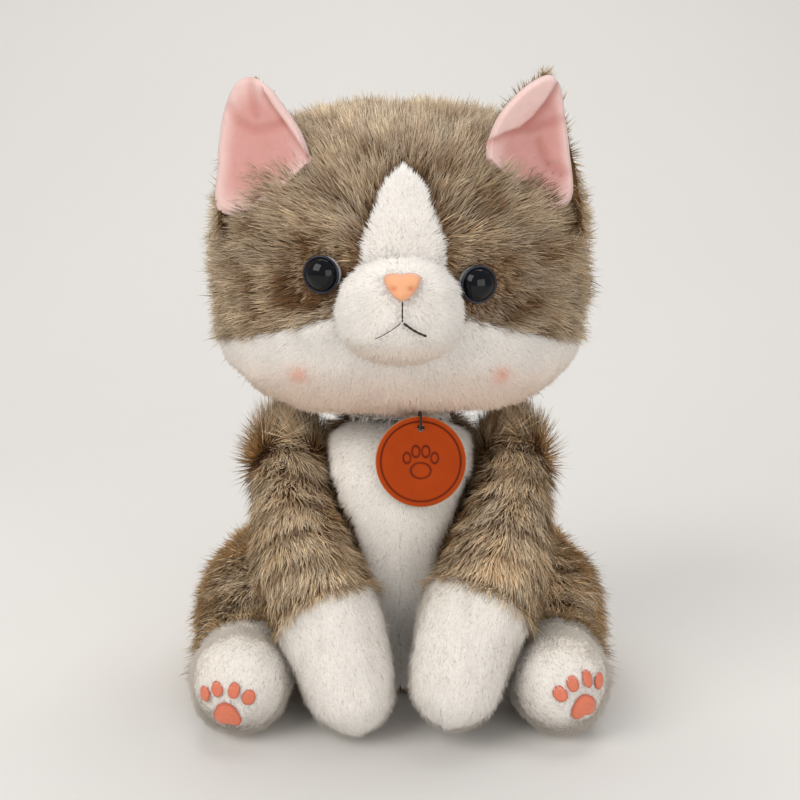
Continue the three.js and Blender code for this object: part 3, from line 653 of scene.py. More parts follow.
def muzzle_flow(points, normals):
    away = unit(points - NOSE_AT)
    away[:, 2] -= 0.2
    return away


def muzzle_tint(points):
    chin = 1.0 - smoothstep(points[:, 2], MUZZLE_LOW[2] + 2 * MM, MUZZLE_LOW[2] + 20 * MM)
    return mix(np.ones((len(points), 3)), CHIN_TINT / WHITE_TIP, 0.55 * chin)


def muzzle_scale(points):
    mouth = smoothstep(distances(MOUTH_TREE, points), 1.5 * MM, 4.5 * MM)
    nose = smoothstep(distances(NOSE_TREE, points), 1.0 * MM, 4.5 * MM)
    return 0.3 + 0.7 * np.minimum(mouth, nose)


muzzle_skin = Skin("muzzle", ["muzzle_cover", "muzzle_stuffing"], white_side([], ["muzzle_cover"]),
                   voxel=1.6 * MM, smooth_steps=6)
furred(muzzle_skin, "head", ["muzzle_cover", "muzzle_stuffing"], muzzle_flow, tint=muzzle_tint,
       scale=muzzle_scale)


# ---- torso and neck -----------------------------------------------------------------------------
def torso_flow(points, normals):
    down = np.tile([0.0, 0.12, -1.0], (len(points), 1))
    down[:, 0] += 0.25 * np.sign(points[:, 0])
    return down


def banded(coordinate, pitch, points, seed):
    """Tabby bands across a coordinate, broken up by noise."""
    wobble = 1.8 * MM * lattice_noise(points, 12 * MM, seed)
    wobble += 0.9 * MM * lattice_noise(points, 4 * MM, seed + 1)
    wave = 0.5 + 0.5 * np.cos(2.0 * math.pi * (coordinate + wobble) / pitch)
    broken = 0.7 + 0.3 * lattice_noise(points, 10 * MM, seed + 2)
    return smoothstep(wave, 0.62, 0.95) * broken


def torso_dark(points):
    return 0.6 * banded(points[:, 2] + 0.25 * np.abs(points[:, 0]), 17 * MM, points, 40)


def torso_pale(points):
    return 1.0 + 0.5 * lattice_noise(points, 18 * MM, 61)


def throat_depth(points):
    """The neck is white in front and brown behind."""
    return -points[:, 1] - 6 * MM - 0.5 * np.abs(points[:, 0])


def chest_depth(points):
    """Only the front of the torso is white, and not the hollows that the arms sit in."""
    return np.minimum(CHEST_SIDE(points), -12 * MM - points[:, 1])


CHEST_SIDE = white_side(TORSO_BROWN, ["chest_panel"])
torso_skin = Skin("torso", TORSO_NODES, chest_depth,
                  near=tree_of([*side_nodes("{}_haunch_cover"), "tail_cover", "tag_disc"]), inset=0.7)
furred(torso_skin, "torso", TORSO_NODES, torso_flow, torso_dark, torso_pale)
neck_skin = Skin("neck", ["neck_plug"], throat_depth, near=tree_of([*HEAD_NODES, *TORSO_NODES]))
furred(neck_skin, "neck", ["neck_plug"], torso_flow, density=0.5)


# ---- limbs --------------------------------------------------------------------------------------
ARM_BAND_PITCH = 14.0 * MM
LEG_BAND_PITCH = 17.0 * MM
TAIL_BAND_PITCH = 15.0 * MM
ARM_PILE = {**LONG_PILE, "jitter": 0.2, "length": 9.5 * MM, "lift": 36.0}


def along(start, end):
    """Pile that lies along a limb and hangs a little, and stands up around its top."""
    direction = unit(end - start) + np.array([0.0, 0.0, -0.15])
    top = start + np.array([0.0, 0.0, 6 * MM])

    def flow(points, normals):
        rise = 1.0 - smoothstep(far_from(top)(points), 12 * MM, 30 * MM)
        out = 0.5 * unit(points - start) + np.array([0.0, 0.0, 1.0])
        return direction * (1.0 - rise)[:, None] + out * rise[:, None]

    return flow


def shoulder_scale(shoulder):
    """Longer pile over the top of a shoulder, which closes the gap under the head."""
    return lambda points: 1.0 + 0.5 * (1.0 - smoothstep(far_from(shoulder)(points), 16 * MM, 34 * MM))


def arm_pale(points):
    return 1.0 + 0.5 * lattice_noise(points, 14 * MM, 81)


# The haunch pile is paler: partly its own colour, partly painted light that makes up for the shade its side
# gets from the lamps.
def haunch_pale(points):
    return 1.35 + 0.4 * lattice_noise(points, 18 * MM, 61)


def beside_pads(tree):
    """Pile lies short where it meets a foot's pads."""
    return lambda points: 0.2 + 0.85 * smoothstep(distances(tree, points), 0.5 * MM, 5.0 * MM)


PAD_NAMES = ("main_pad", "outer_toe_pad", "outer_middle_toe_pad", "inner_middle_toe_pad", "inner_toe_pad")
TORSO_TREE = tree_of([*TORSO_BROWN, "chest_panel"])

for side in SIDES:
    sleeve, sock = [f"{side}_arm_sleeve"], [f"{side}_paw_sock"]
    arm_nodes = [*sleeve, *sock, f"{side}_arm_stuffing"]
    shoulder = joint_place(f"{side}_arm_lift")
    from_shoulder = far_from(shoulder)
    arm_skin = Skin(f"{side}_arm", arm_nodes, white_side(sleeve, sock), near=TORSO_TREE, voxel=2.4 * MM,
                    smooth_steps=8, inset=0.6)
    furred(arm_skin, f"{side}_arm", arm_nodes, along(shoulder, middle_of(sock[0])),
           lambda points, far=from_shoulder: 0.85 * banded(far(points) + 6 * MM, ARM_BAND_PITCH, points, 70),
           arm_pale, scale=shoulder_scale(shoulder), long_pile=ARM_PILE)

    haunch, foot = [f"{side}_haunch_cover"], [f"{side}_foot_cover"]
    leg_nodes = [*haunch, *foot, f"{side}_leg_stuffing"]
    hip = joint_place(f"{side}_leg_splay")
    from_hip = far_from(hip)
    pad_tree = tree_of([f"{side}_{name}" for name in PAD_NAMES])
    leg_skin = Skin(f"{side}_leg", leg_nodes, white_side(haunch, foot), near=TORSO_TREE, voxel=2.6 * MM,
                    smooth_steps=8)
    furred(leg_skin, f"{side}_leg", leg_nodes, along(hip, middle_of(foot[0])),
           lambda points, far=from_hip: 0.6 * banded(far(points), LEG_BAND_PITCH, points, 90), haunch_pale,
           scale=beside_pads(pad_tree))


# ---- tail ---------------------------------------------------------------------------------------
tail_skin = Skin("tail", ["tail_cover", "tail_stuffing"], everywhere(-1.0), near=tree_of(TORSO_BROWN),
                 voxel=2.0 * MM, smooth_steps=5)
furred(tail_skin, "tail", ["tail_cover", "tail_stuffing"],
       lambda points, normals: np.tile([-1.0, 0.1, -0.1], (len(points), 1)),
       lambda points: 0.9 * banded(points[:, 0], TAIL_BAND_PITCH, points, 110), torso_pale)


# ---- shapes on a plane --------------------------------------------------------------------------
def bezier(a, b, c, count):
    """Points along a quadratic curve from a to c, drawn towards b."""
    t = np.linspace(0.0, 1.0, count)[:, None]
    return (1 - t) ** 2 * np.array(a) + 2 * t * (1 - t) * np.array(b) + t**2 * np.array(c)


def resampled(outline, count):
    """A closed outline's points, evenly spaced."""
    closed = np.vstack([outline, outline[:1]])
    reach = np.concatenate([[0.0], np.cumsum(np.linalg.norm(np.diff(closed, axis=0), axis=1))])
    at = np.linspace(0.0, reach[-1], count, endpoint=False)
    return np.stack([np.interp(at, reach, closed[:, i]) for i in range(2)], axis=1)


def to_line(points, line):
    """Distance of flat points from a broken line, and which side they lie on: 1 is its left."""
    line = np.asarray(line, dtype=float)
    best = np.full(len(points), np.inf)
    side = np.ones(len(points))
    for a, b in zip(line, line[1:]):
        run = b - a
        t = np.clip(((points - a) @ run) / (run @ run), 0.0, 1.0)
        off = points - (a + t[:, None] * run)
        far = np.linalg.norm(off, axis=1)
        nearer = far < best
        best[nearer] = far[nearer]
        side[nearer] = np.sign(run[0] * off[nearer, 1] - run[1] * off[nearer, 0])
    return best, side


def leaf(name, outline, centre, rings, place, around=120):
    """A patch that fills a flat outline with rings about its centre.

    place turns flat points and their share of the way to the edge into places and colours.
    """
    edge = resampled(np.asarray(outline), around)
    shares = np.linspace(0.0, 1.0, rings + 1)[1:]
    flat = [np.asarray(centre)[None], *(centre + share * (edge - centre) for share in shares)]
    reach = np.concatenate([[0.0], np.repeat(shares, around)])
    points, colours = place(np.vstack(flat), reach)
    faces = [(0, 1 + (k + 1) % around, 1 + k) for k in range(around)]
    for ring in range(rings - 1):
        low, high = 1 + ring * around, 1 + (ring + 1) * around
        faces += [(low + k, low + (k + 1) % around, high + (k + 1) % around, high + k) for k in range(around)]
    obj = new_object(name, points, faces)
    set_colours(obj.data, "tint", colours)
    return obj


def solidified(obj, thickness):
    """Gives a patch a thickness behind it."""
    modifier = obj.modifiers.new("thickness", "SOLIDIFY")
    modifier.thickness = thickness
    modifier.offset = -1.0
    applied(obj)
    obj.data.shade_smooth()
    return obj


def finished(obj, body, material, slot, *nodes):
    obj.data.materials.clear()
    obj.data.materials.append(material)
    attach(obj, body)
    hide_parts(*nodes)


# ---- ears ---------------------------------------------------------------------------------------
# An ear is drawn flat, in millimetres as X and Z, on a plane that leans back and turns outwards.
# Each lining's edge goes from its inner foot over the tip to its outer foot.
EAR_EDGE = {
    "left": [(38.0, 259.0), (38.5, 266.0), (43.5, 277.5), (53.0, 288.0), (61.0, 293.5), (67.0, 295.5),
             (71.0, 293.0), (73.2, 288.0), (75.0, 276.0), (77.0, 262.0), (78.0, 240.0), (62.0, 236.0)],
    "right": [(39.0, 257.0), (41.0, 264.0), (44.6, 272.0), (52.0, 282.5), (59.0, 290.5), (67.5, 294.6),
              (74.5, 291.4), (79.2, 282.3), (82.0, 270.0), (83.3, 256.0), (83.0, 235.0), (62.0, 236.0)],
}
EAR_CENTRE = np.array([63.0, 264.0])
EAR_FOOT = np.array([38.0, 263.0])
EAR_FRONT = -54.0  # where an ear's front is at its inner foot, which it leaves backwards
EAR_TURN, EAR_LEAN = 0.48, 0.14  # how far it goes back for each step outwards and each step up
VELVET_MIDDLE = srgb(222, 164, 156)
VELVET_RIM = srgb(242, 206, 198)
VELVET_PAINTED_SHADE = srgb(184, 104, 92)
VELVET_THICKNESS = 0.9 * MM
FOLD_RISE, CREASE_DEPTH, CREASE_WIDTH = 2.4, 1.3, 2.4
# Each ear's folded-over strip ends along a line; creases are soft valleys.
EAR_FOLD = {
    "left": [(70.0, 292.0), (65.0, 284.0), (59.0, 277.0), (53.0, 272.5), (46.0, 270.5), (39.0, 267.0)],
    "right": [(59.5, 287.0), (56.0, 281.5), (51.0, 275.0), (46.5, 269.0), (41.0, 261.0)],
}
EAR_CREASES = {
    "left": [[(74.0, 276.0), (66.0, 274.0), (58.0, 272.0)], [(63.0, 266.0), (67.0, 256.0), (75.0, 252.0)]],
    "right": [[(67.5, 296.0), (66.5, 288.0), (65.0, 278.0)],
              [(77.5, 282.0), (73.0, 275.0), (66.0, 271.0), (58.0, 272.0), (51.0, 275.0)]],
}


def ear_place(flat, forward, sign):
    """Where a point of an ear, in millimetres as X and Z and how far forward, ends up in the frame."""
    y = EAR_FRONT + (flat - EAR_FOOT) @ np.array([EAR_TURN, EAR_LEAN]) - forward
    return np.stack([sign * flat[:, 0], y, flat[:, 1]], axis=1) * MM


def make_lining(side, sign):
    def place(flat, reach):
        cup = 3.0 * reach**2 - 3.4 * smoothstep(reach, 0.9, 1.0)
        fold, fold_side = to_line(flat, EAR_FOLD[side])
        folded = smoothstep(-fold * fold_side, -0.5, 0.5)
        under = (1.0 - folded) * np.exp(-((fold / 2.6) ** 2))
        crease = np.zeros(len(flat))
        for line in EAR_CREASES[side]:
            crease = np.maximum(crease, np.exp(-((to_line(flat, line)[0] / CREASE_WIDTH) ** 2)))
        crease *= 1.0 - folded
        forward = cup + FOLD_RISE * folded * (1.0 - smoothstep(reach, 0.93, 1.0))
        forward -= CREASE_DEPTH * crease + 0.7 * under
        depth = np.clip(1.0 - reach, 0.0, 1.0)
        # The lining is lighter towards the rim, and the raised folded strip is lightened with the rim colour
        # as painted light.
        colours = mix(np.broadcast_to(VELVET_MIDDLE, (len(flat), 3)), VELVET_RIM,
                      np.clip(smoothstep(reach, 0.55, 0.95) + 0.75 * folded, 0.0, 1.0))
        # Painted shade: the creases, the lining just below the folded strip and the middle of the cup are
        # darkened.
        colours = mix(colours, VELVET_PAINTED_SHADE, np.clip(0.3 * crease + 0.6 * under + 0.2 * depth, 0.0, 0.8))
        return ear_place(flat, forward, sign), colours

    edge = spline(EAR_EDGE[side] + EAR_EDGE[side][:1], 200)
    lining = leaf(f"{side}_ear_velvet", edge, EAR_CENTRE, 34, place, around=160)
    solidified(lining, VELVET_THICKNESS * sign)
    finished(lining, "head", VELVET.material, "ear_velvet", f"{side}_ear_lining")


VELVET = Look("ear_velvet", 0.85, Sheen_Weight=0.35, Sheen_Roughness=0.4)
VELVET.painted(VELVET.noise(260.0, 5.0), 0.94, 1.0).bump(VELVET.noise(1500.0, 4.0), 0.25 * MM, 0.6)
EAR_PILE = {**LONG_PILE, "length": 8.0 * MM, "lift": 34.0, "per_mm2": 3.4}

RIM_LENGTH = {
    "left": everywhere(1.0),
    "right": lambda points: 1.0 - 0.65 * smoothstep(points[:, 2], 258 * MM, 274 * MM),
}

for side, sign in SIDES.items():
    make_lining(side, sign)
    ear_node = f"{side}_ear_back"
    ear_front = unit(np.array([sign * EAR_TURN, -1.0, EAR_LEAN]))
    ear_middle = ear_place(EAR_CENTRE[None], np.zeros(1), sign)[0]
    ear_skin = Skin(f"{side}_ear", [ear_node], everywhere(-1.0), voxel=1.5 * MM, smooth_steps=3, inset=0.25)
    furred(ear_skin, "head", [ear_node],
           lambda points, normals, at=ear_middle: unit(points - at) + np.array([0.0, 0.35, 0.25]),
           lambda points: 0.35 * smoothstep(lattice_noise(points, 8 * MM, 130), 0.1, 0.7), everywhere(0.35),
           scale=RIM_LENGTH[side], keep=lambda points, facing, front=ear_front: facing @ front < 0.12,
           long_pile=EAR_PILE)


# ---- eyes ---------------------------------------------------------------------------------------
EYE_HEIGHT = 6.4 * MM
EYE_GLOSS = Look("eye_gloss", 0.04, Specular_IOR_Level=0.3)
EYE_GLOSS.between(EYE_GLOSS.noise(30.0), srgb(4, 4, 7), srgb(9, 10, 16), (0.0, 1.0))
EYE_RIM = Look("eye_rim", 0.3)
EYE_RIM.between(EYE_RIM.noise(60.0), srgb(16, 20, 38), srgb(26, 32, 56), (0.0, 1.0))


def spun(name, profile, place, axis, sides=64):
    """A round piece from (radius, height) pairs about an axis."""
    across = unit(np.cross(axis, [0.0, 0.0, 1.0]))
    up = np.cross(across, axis)
    angle = np.linspace(0.0, 2.0 * math.pi, sides, endpoint=False)
    ring = np.cos(angle)[:, None] * across + np.sin(angle)[:, None] * up
    verts = [place + radius * r + height * axis for radius, height in profile for r in ring]
    return lofted(name, verts, len(profile), sides)


for side in SIDES:
    eye_points = node_mesh([f"{side}_eye"])[0]
    washer = node_mesh([f"{side}_eye_washer"])[0].mean(axis=0)
    outward = unit(eye_points.mean(axis=0) - washer)
    for _ in range(3):  # the eye's tip, and so its direction, settles in a few rounds
        top = eye_points[np.argmax(eye_points @ outward)]
        outward = unit(top - washer)
    seat = top - EYE_HEIGHT * outward
    turn = np.linspace(0.0, 0.5 * math.pi, 20)
    dome = [(EYE_RADIUS * math.cos(a) + 1e-6, EYE_HEIGHT * math.sin(a)) for a in turn]
    stem = [(1.9 * MM, -14.0 * MM), (1.9 * MM, -0.1 * MM)]
    eye = spun(f"{side}_eye_dome", [*stem, *dome], seat, outward)
    finished(eye, "head", EYE_GLOSS.material, "eye_gloss", f"{side}_eye")
    turn = np.linspace(0.0, 2.0 * math.pi, 13)
    rim = [(EYE_RADIUS + 0.1 * MM + 0.6 * MM * math.cos(a), 1.3 * MM + 0.6 * MM * math.sin(a)) for a in turn]
    rim_piece = spun(f"{side}_eye_rim", rim, seat, outward)
    finished(rim_piece, "head", EYE_RIM.material, "eye_gloss")


# ---- nose and mouth -----------------------------------------------------------------------------
NOSE_HALF_WIDTH = 8.0
NOSE_HEIGHT = 10.6
NOSE_SWELL = 3.4
NOSE_PINK = srgb(244, 176, 128)
NOSE_PAINTED_SHADE = srgb(220, 128, 92)
MUZZLE_TREE = tree_of(["muzzle_cover"])


def on_muzzle(flat):
    """The muzzle's front at each X and Z, in metres."""
    hits = [MUZZLE_TREE.ray_cast(Vector((x, -0.2, z)), Vector((0.0, 1.0, 0.0)))[0] for x, z in flat]
    return np.array([hit if hit else (x, MUZZLE_LOW[1] + 8 * MM, z) for hit, (x, z) in zip(hits, flat)])


def nose_outline():
    w, h = NOSE_HALF_WIDTH, NOSE_HEIGHT
    right = np.vstack([bezier((0.0, h * 0.46), (w * 0.5, h * 0.52), (w * 0.72, h * 0.46), 8),
                       bezier((w * 0.72, h * 0.46), (w * 1.12, h * 0.38), (w * 0.94, h * 0.1), 8)[1:],
                       bezier((w * 0.94, h * 0.1), (w * 0.62, -h * 0.32), (w * 0.26, -h * 0.5), 10)[1:],
                       bezier((w * 0.26, -h * 0.5), (w * 0.12, -h * 0.56), (0.0, -h * 0.56), 5)[1:]])
    return np.vstack([right, (right * np.array([-1.0, 1.0]))[-2:0:-1]])


def nose_place(flat, reach):
    base = on_muzzle(flat * MM + NOSE_AT[[0, 2]])
    dimple = np.zeros(len(flat))
    for sign in SIDES.values():
        off = (flat - np.array([sign * 3.7, -0.6])) / np.array([1.5, 1.1])
        dimple = np.maximum(dimple, np.exp(-(off**2).sum(axis=1)))
    out = NOSE_SWELL * np.sqrt(np.clip(1.0 - reach**3, 0.0, 1.0))
    out -= 0.9 * dimple + 1.2 * smoothstep(reach, 0.9, 1.0)
    base[:, 1] -= (out + 0.8) * MM
    # Painted shade darkens the nostril dimples and the nose's rim where it curls under.
    colours = mix(np.broadcast_to(NOSE_PINK, (len(flat), 3)), NOSE_PAINTED_SHADE,
                  np.clip(0.75 * dimple + 0.3 * smoothstep(reach, 0.7, 1.0), 0.0, 1.0))
    return base, colours


NOSE_LOOK = Look("nose_flock", 0.8, Sheen_Weight=0.4)
NOSE_LOOK.colour(NOSE_LOOK.attribute("tint")).bump(NOSE_LOOK.noise(1400.0, 3.0), 0.3 * MM, 0.7)
nose = solidified(leaf("nose_cap", nose_outline(), np.zeros(2), 16, nose_place, around=96), 2.0 * MM)
finished(nose, "head", NOSE_LOOK.material, "nose_flock", "nose")

THREAD = Look("dark_thread", 0.75)
THREAD.between(THREAD.noise(1200.0), srgb(34, 22, 16), srgb(66, 44, 32))
MOUTH_TOP = (1.0, 201.4)
MOUTH_MIDDLE = (1.0, 193.2)
MOUTH_ENDS = {"left": (11.0, 186.6), "right": (-10.5, 185.4)}
MOUTH_RADIUS = {"middle": 0.36 * MM, "left": 0.56 * MM, "right": 0.2 * MM}
STITCH = 2.4 * MM
LIFT = 1.9 * MM  # how far the thread stands off the cloth, on top of the flattened pile


def stitched(name, start, end, radius, bow):
    """A row of short stitches on the muzzle from one place to another, in millimetres."""
    t = np.linspace(0.0, 1.0, 60)[:, None]
    flat = (np.array(start) * (1 - t) + np.array(end) * t) * MM
    flat[:, 1] += bow * MM * np.sin(math.pi * t[:, 0])
    line = on_muzzle(flat)
    reach = np.concatenate([[0.0], np.cumsum(np.linalg.norm(np.diff(line, axis=0), axis=1))])
    dip = np.abs(np.sin(math.pi * reach / STITCH)) ** 0.5
    line[:, 1] -= LIFT * (0.72 + 0.28 * dip)
    return tube(name, line, radius * (0.55 + 0.45 * dip))


for part, start, end, bow in (("middle", MOUTH_TOP, MOUTH_MIDDLE, 0.0),
                              ("left", (1.6, 192.4), MOUTH_ENDS["left"], -0.5),
                              ("right", (0.2, 192.4), MOUTH_ENDS["right"], -0.5)):
    row = stitched(f"mouth_thread_{part}", start, end, MOUTH_RADIUS[part], bow)
    finished(row, "head", THREAD.material, "dark_thread", f"mouth_stitch_{part}")


# ---- foot pads ----------------------------------------------------------------------------------
PAD_LOOK = Look("pad_satin", 0.6, Sheen_Weight=0.2)
PAD_LOOK.painted(PAD_LOOK.noise(900.0), 0.9, 1.0).bump(PAD_LOOK.noise(1600.0, 2.0), 0.2 * MM, 0.5)
PAD_CORAL = srgb(226, 124, 92)
PAD_PAINTED_SHADE = srgb(202, 96, 70)
PAD_SHARE = np.array([0.8, 0.9])  # of the CAD pad's width and height, the rest being under pile
PAD_RISE = 2.5 * MM
PAD_SINK = 0.8 * MM  # how far a pad's edge dips below its middle
PAD_SEARCH = 20 * MM  # how far in front of a pad the search for its foot's cloth starts
FOOT_MIDDLE = (-80 * MM, 24 * MM)  # Y and Z of the point that a foot's pads face away from


def make_pad(side, name):
    """The CAD pad's outline seen from the front, filled again as a soft cushion on the foot."""
    node = f"{side}_{name}"
    points = node_mesh([node])[0]
    centre = points.mean(axis=0)
    foot_middle = np.array([middle_of(f"{side}_foot_cover")[0], *FOOT_MIDDLE])
    outward = unit(centre - foot_middle)
    across = unit(np.cross([0.0, 0.0, 1.0], outward))
    up = np.cross(outward, across)
    flat = np.stack([(points - centre) @ across, (points - centre) @ up], axis=1)
    angle = np.arctan2(flat[:, 1], flat[:, 0])
    order = np.argsort(angle)
    turn = np.linspace(-math.pi, math.pi, 64, endpoint=False)
    radius = np.linalg.norm(flat, axis=1)
    bins = np.abs(np.angle(np.exp(1j * (turn[:, None] - angle[order][None]))))
    outer = np.array([radius[order][row < 0.3].max(initial=0.0) for row in bins])
    outer = np.where(outer > 0.0, outer, np.median(outer))
    smooth = np.fft.irfft(np.fft.rfft(outer) * (np.arange(33) < 6), 64)
    outline = np.stack([np.cos(turn), np.sin(turn)], axis=1) * smooth[:, None] * PAD_SHARE
    skin = tree_of([f"{side}_foot_cover"])

    def place(spots, reach):
        start = centre + spots[:, :1] * across + (spots[:, 1:] + PAD_RISE) * up + outward * PAD_SEARCH
        hits = [skin.ray_cast(Vector(p), Vector(-outward))[0] for p in start]
        base = np.array([hit if hit else p - outward * PAD_SEARCH for hit, p in zip(hits, start)])
        base = base - outward * PAD_SINK * (0.3 + 0.7 * reach**4)[:, None]
        # Painted shade darkens each pad towards its edge, where it dips into the pile.
        return base, mix(np.broadcast_to(PAD_CORAL, base.shape), PAD_PAINTED_SHADE, smoothstep(reach, 0.78, 1.0))

    pad = leaf(f"{node}_cushion", outline, np.zeros(2), 10, place, around=64)
    finished(solidified(pad, 1.0 * MM), f"{side}_leg", PAD_LOOK.material, "pad_satin", node)


for side in SIDES:
    for pad_name in PAD_NAMES:
        make_pad(side, pad_name)


# ---- tag ----------------------------------------------------------------------------------------
TAG_RADIUS = 21.0
TAG_THICKNESS = 2.6
TAG_ROUNDING = 0.5  # of its edge
TAG_HOLE_UP, TAG_HOLE_RADIUS = 15.5, 1.7
TAG_LEAN = math.radians(14.0)
TAG_CENTRE = np.array([9.6, -54.0, 121.0])
TAG_CORD_DIAMETER = 1.2
TAG_CORD_ROUTE = [(8.4, -30.4, 131.9), (8.4, -33.0, 132.4), (8.5, -37.5, 134.4), (8.7, -42.0, 138.2),
                  (9.0, -46.0, 141.8), (9.3, -49.0, 143.3), (9.5, -51.6, 142.7), (9.6, -53.4, 140.4),
                  (9.6, -53.4, 137.8), (9.6, -51.8, 136.2), (9.6, -49.8, 135.6), (9.8, -47.0, 135.4),
                  (10.2, -43.0, 134.9), (10.8, -38.0, 133.4), (11.3, -33.0, 132.0), (11.6, -29.6, 131.6)]
LEATHER_COLOUR = srgb(172, 62, 0)
LEATHER_INK = srgb(84, 20, 4)
LEATHER_EDGE = srgb(226, 160, 116)
RING_RADIUS = 18.4
RING_LINE, PRINT_LINE = 0.42, 0.38  # half widths of the pressed lines
# A plain paw print: each toe and the pad as x, z and half sizes.
PAW_PRINT = [(0.0, -4.2, 4.6, 3.6), (-6.4, 1.6, 1.7, 2.4), (-2.3, 4.6, 1.8, 2.6), (2.3, 4.6, 1.8, 2.6),
             (6.4, 1.6, 1.7, 2.4)]


def pressed(flat):
    """How deeply the ring and the print are pressed into the leather at flat points, 0 to 1."""
    radius = np.linalg.norm(flat, axis=1)
    mark = np.exp(-(((radius - RING_RADIUS) / RING_LINE) ** 2))
    for x, z, half_x, half_z in PAW_PRINT:
        off = np.linalg.norm((flat - np.array([x, z])) / np.array([half_x, half_z]), axis=1)
        mark = np.maximum(mark, np.exp(-(((off - 1.0) * min(half_x, half_z) / PRINT_LINE) ** 2)))
    return mark


def tag_place(flat, y):
    c, s = math.cos(-TAG_LEAN), math.sin(-TAG_LEAN)
    off = np.stack([flat[:, 0], c * y - s * flat[:, 1], s * y + c * flat[:, 1]], axis=1)
    return (off + TAG_CENTRE) * MM


def make_tag():
    """A disc as a ring-shaped grid from its hole's edge to its rim, front, edge and back."""
    around, rings = 144, 84
    angle = np.linspace(0.0, 2.0 * math.pi, around, endpoint=False)
    circle = np.stack([np.cos(angle), np.sin(angle)], axis=1)
    hole = np.array([0.0, TAG_HOLE_UP]) + TAG_HOLE_RADIUS * circle
    half = 0.5 * TAG_THICKNESS
    verts, tints = [], []
    for share in np.linspace(0.0, 1.0, rings):
        flat = hole * (1.0 - share) + (TAG_RADIUS - TAG_ROUNDING) * circle * share
        mark = pressed(flat)
        verts.append(tag_place(flat, -half + 0.4 * mark))
        tints.append(mix(np.broadcast_to(LEATHER_COLOUR, (around, 3)), LEATHER_INK, np.clip(mark, 0.0, 1.0)))
    for turn in np.linspace(0.0, 1.0, 7)[1:]:
        radius = TAG_RADIUS - TAG_ROUNDING + TAG_ROUNDING * math.sin(math.pi * turn)
        verts.append(tag_place(circle * radius, np.full(around, -half * math.cos(math.pi * turn))))
        tints.append(np.broadcast_to(mix(LEATHER_EDGE, LEATHER_COLOUR, 0.25), (around, 3)))
    for share in np.linspace(1.0, 0.0, 12):
        flat = hole * (1.0 - share) + (TAG_RADIUS - TAG_ROUNDING) * circle * share
        verts.append(tag_place(flat, np.full(around, half)))
        tints.append(np.broadcast_to(LEATHER_COLOUR * 0.8, (around, 3)))
    total = len(verts)
    faces = []
    for i in range(total):
        low, high = i * around, ((i + 1) % total) * around
        faces += [(low + k, high + k, high + (k + 1) % around, low + (k + 1) % around) for k in range(around)]
    disc = new_object("tag_leather_disc", np.vstack(verts), faces)
    set_colours(disc.data, "tint", np.vstack(tints))
    return disc


LEATHER = Look("tag_leather", 0.6, Specular_IOR_Level=0.15)
LEATHER.painted(LEATHER.noise(60.0, 4.0), 0.86, 1.06).bump(LEATHER.noise(700.0, 6.0), 0.15 * MM, 0.35)
finished(make_tag(), "tag", LEATHER.material, "tag_leather", "tag_disc")

cord_line = spline(np.array(TAG_CORD_ROUTE) * MM, 90)
cord = tube("tag_thread", cord_line, 0.5 * TAG_CORD_DIAMETER * MM)
finished(cord, "tag", THREAD.material, "dark_thread", "tag_cord")


# ---- care label ---------------------------------------------------------------------------------
def make_label():
    """A blank ribbon, slightly curled, sewn at its front edge."""
    low, high = (np.array(corner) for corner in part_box("care_label"))
    reach = high[1] - low[1]
    verts, faces = [], []
    rows = 12
    for i in range(rows + 1):
        share = i / rows
        curl = 1.6 * MM * share**2
        for z in (low[2], high[2]):
            for x in (low[0], high[0]):
                verts.append((x + curl, low[1] + reach * share, z))
    for i in range(rows):
        a, b = 4 * i, 4 * (i + 1)
        faces += [(a, a + 2, b + 2, b), (a + 1, b + 1, b + 3, a + 3), (a, b, b + 1, a + 1),
                  (a + 2, a + 3, b + 3, b + 2)]
    last = 4 * rows
    faces += [(0, 1, 3, 2), (last, last + 2, last + 3, last + 1)]
    return new_object("label_ribbon", verts, faces, smooth=False)


LABEL_LOOK = Look("label_satin", 0.45, Sheen_Weight=0.3)
LABEL_LOOK.between(LABEL_LOOK.noise(900.0, 2.0, (1.0, 1.0, 8.0)), srgb(232, 229, 222), srgb(246, 244, 240))
finished(make_label(), "torso", LABEL_LOOK.material, "label_satin", "care_label")


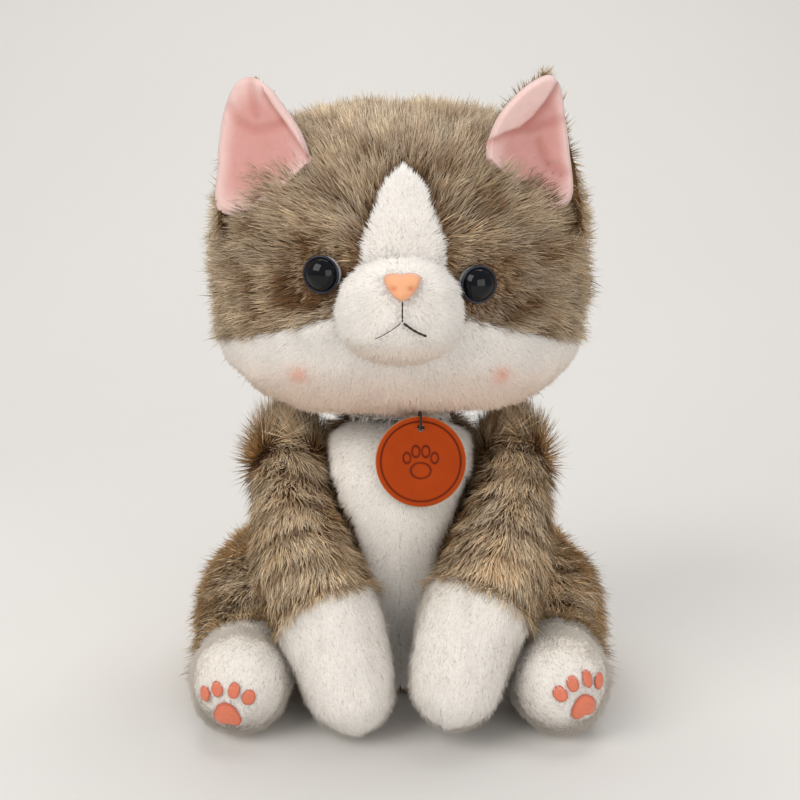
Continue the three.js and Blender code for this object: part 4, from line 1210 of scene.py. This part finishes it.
# ---- hidden fillings ------------------------------------------------------------------------------
WASHER = ("washer_plastic", srgb(222, 222, 218), srgb(232, 232, 228))
INNER_LOOKS = {"pellet_bag": ("bag_cloth", srgb(196, 190, 176), srgb(214, 208, 196)),
               "left_eye_washer": WASHER, "right_eye_washer": WASHER}
for node, (look_name, low, high) in INNER_LOOKS.items():
    look = Look(look_name, 0.6)
    look.between(look.noise(400.0), low, high)
    frame["nodes"][node].data.materials.clear()
    frame["nodes"][node].data.materials.append(look.material)


# ---- floor and light ----------------------------------------------------------------------------
STAGE_WIDTH = 8.0
STAGE_FRONT, STAGE_BACK = -8.0, 0.4
STAGE_BEND, STAGE_TOP = 1.2, 4.0


def make_stage():
    """A pale floor that sweeps up into a wall behind."""
    bend = np.linspace(0.0, 0.5 * math.pi, 24)
    profile = [(STAGE_FRONT, 0.0)]
    profile += [(STAGE_BACK + STAGE_BEND * math.sin(a), STAGE_BEND * (1.0 - math.cos(a))) for a in bend]
    profile.append((STAGE_BACK + STAGE_BEND, STAGE_TOP))
    verts = [(x, y, z) for y, z in profile for x in (-STAGE_WIDTH, STAGE_WIDTH)]
    faces = [(2 * i, 2 * i + 1, 2 * i + 3, 2 * i + 2) for i in range(len(profile) - 1)]
    floor = new_object("floor", verts, faces)
    look = Look("floor", 0.8)
    look.between(look.noise(3.0), srgb(228, 225, 220), srgb(231, 228, 223), (0.0, 1.0))
    floor.data.materials.append(look.material)


LIT_MIDDLE = Vector((0.0, 0.0, 0.15))


def area_light(name, place, size, power, colour):
    data = bpy.data.lights.new(name, "AREA")
    data.shape = "RECTANGLE"
    data.size, data.size_y = size
    data.energy = power
    data.color = colour
    light = bpy.data.objects.new(name, data)
    light.location = place
    light.rotation_euler = (LIT_MIDDLE - Vector(place)).to_track_quat("-Z", "Y").to_euler()
    bpy.context.scene.collection.objects.link(light)


make_stage()
world = bpy.data.worlds.new("studio")
world.use_nodes = True
sky = world.node_tree.nodes["Background"]
sky.inputs["Color"].default_value = (0.93, 0.95, 1.0, 1.0)
sky.inputs["Strength"].default_value = 0.42
bpy.context.scene.world = world
bpy.context.scene.view_settings.view_transform = "Standard"
area_light("key", (-1.1, -1.0, 1.3), (1.2, 1.2), 16.0, (1.0, 0.98, 0.95))
area_light("fill", (0.9, -1.6, 0.35), (1.4, 1.4), 13.0, (1.0, 0.98, 0.96))
area_light("top", (0.1, 0.5, 1.6), (1.2, 0.8), 11.0, (1.0, 1.0, 1.0))
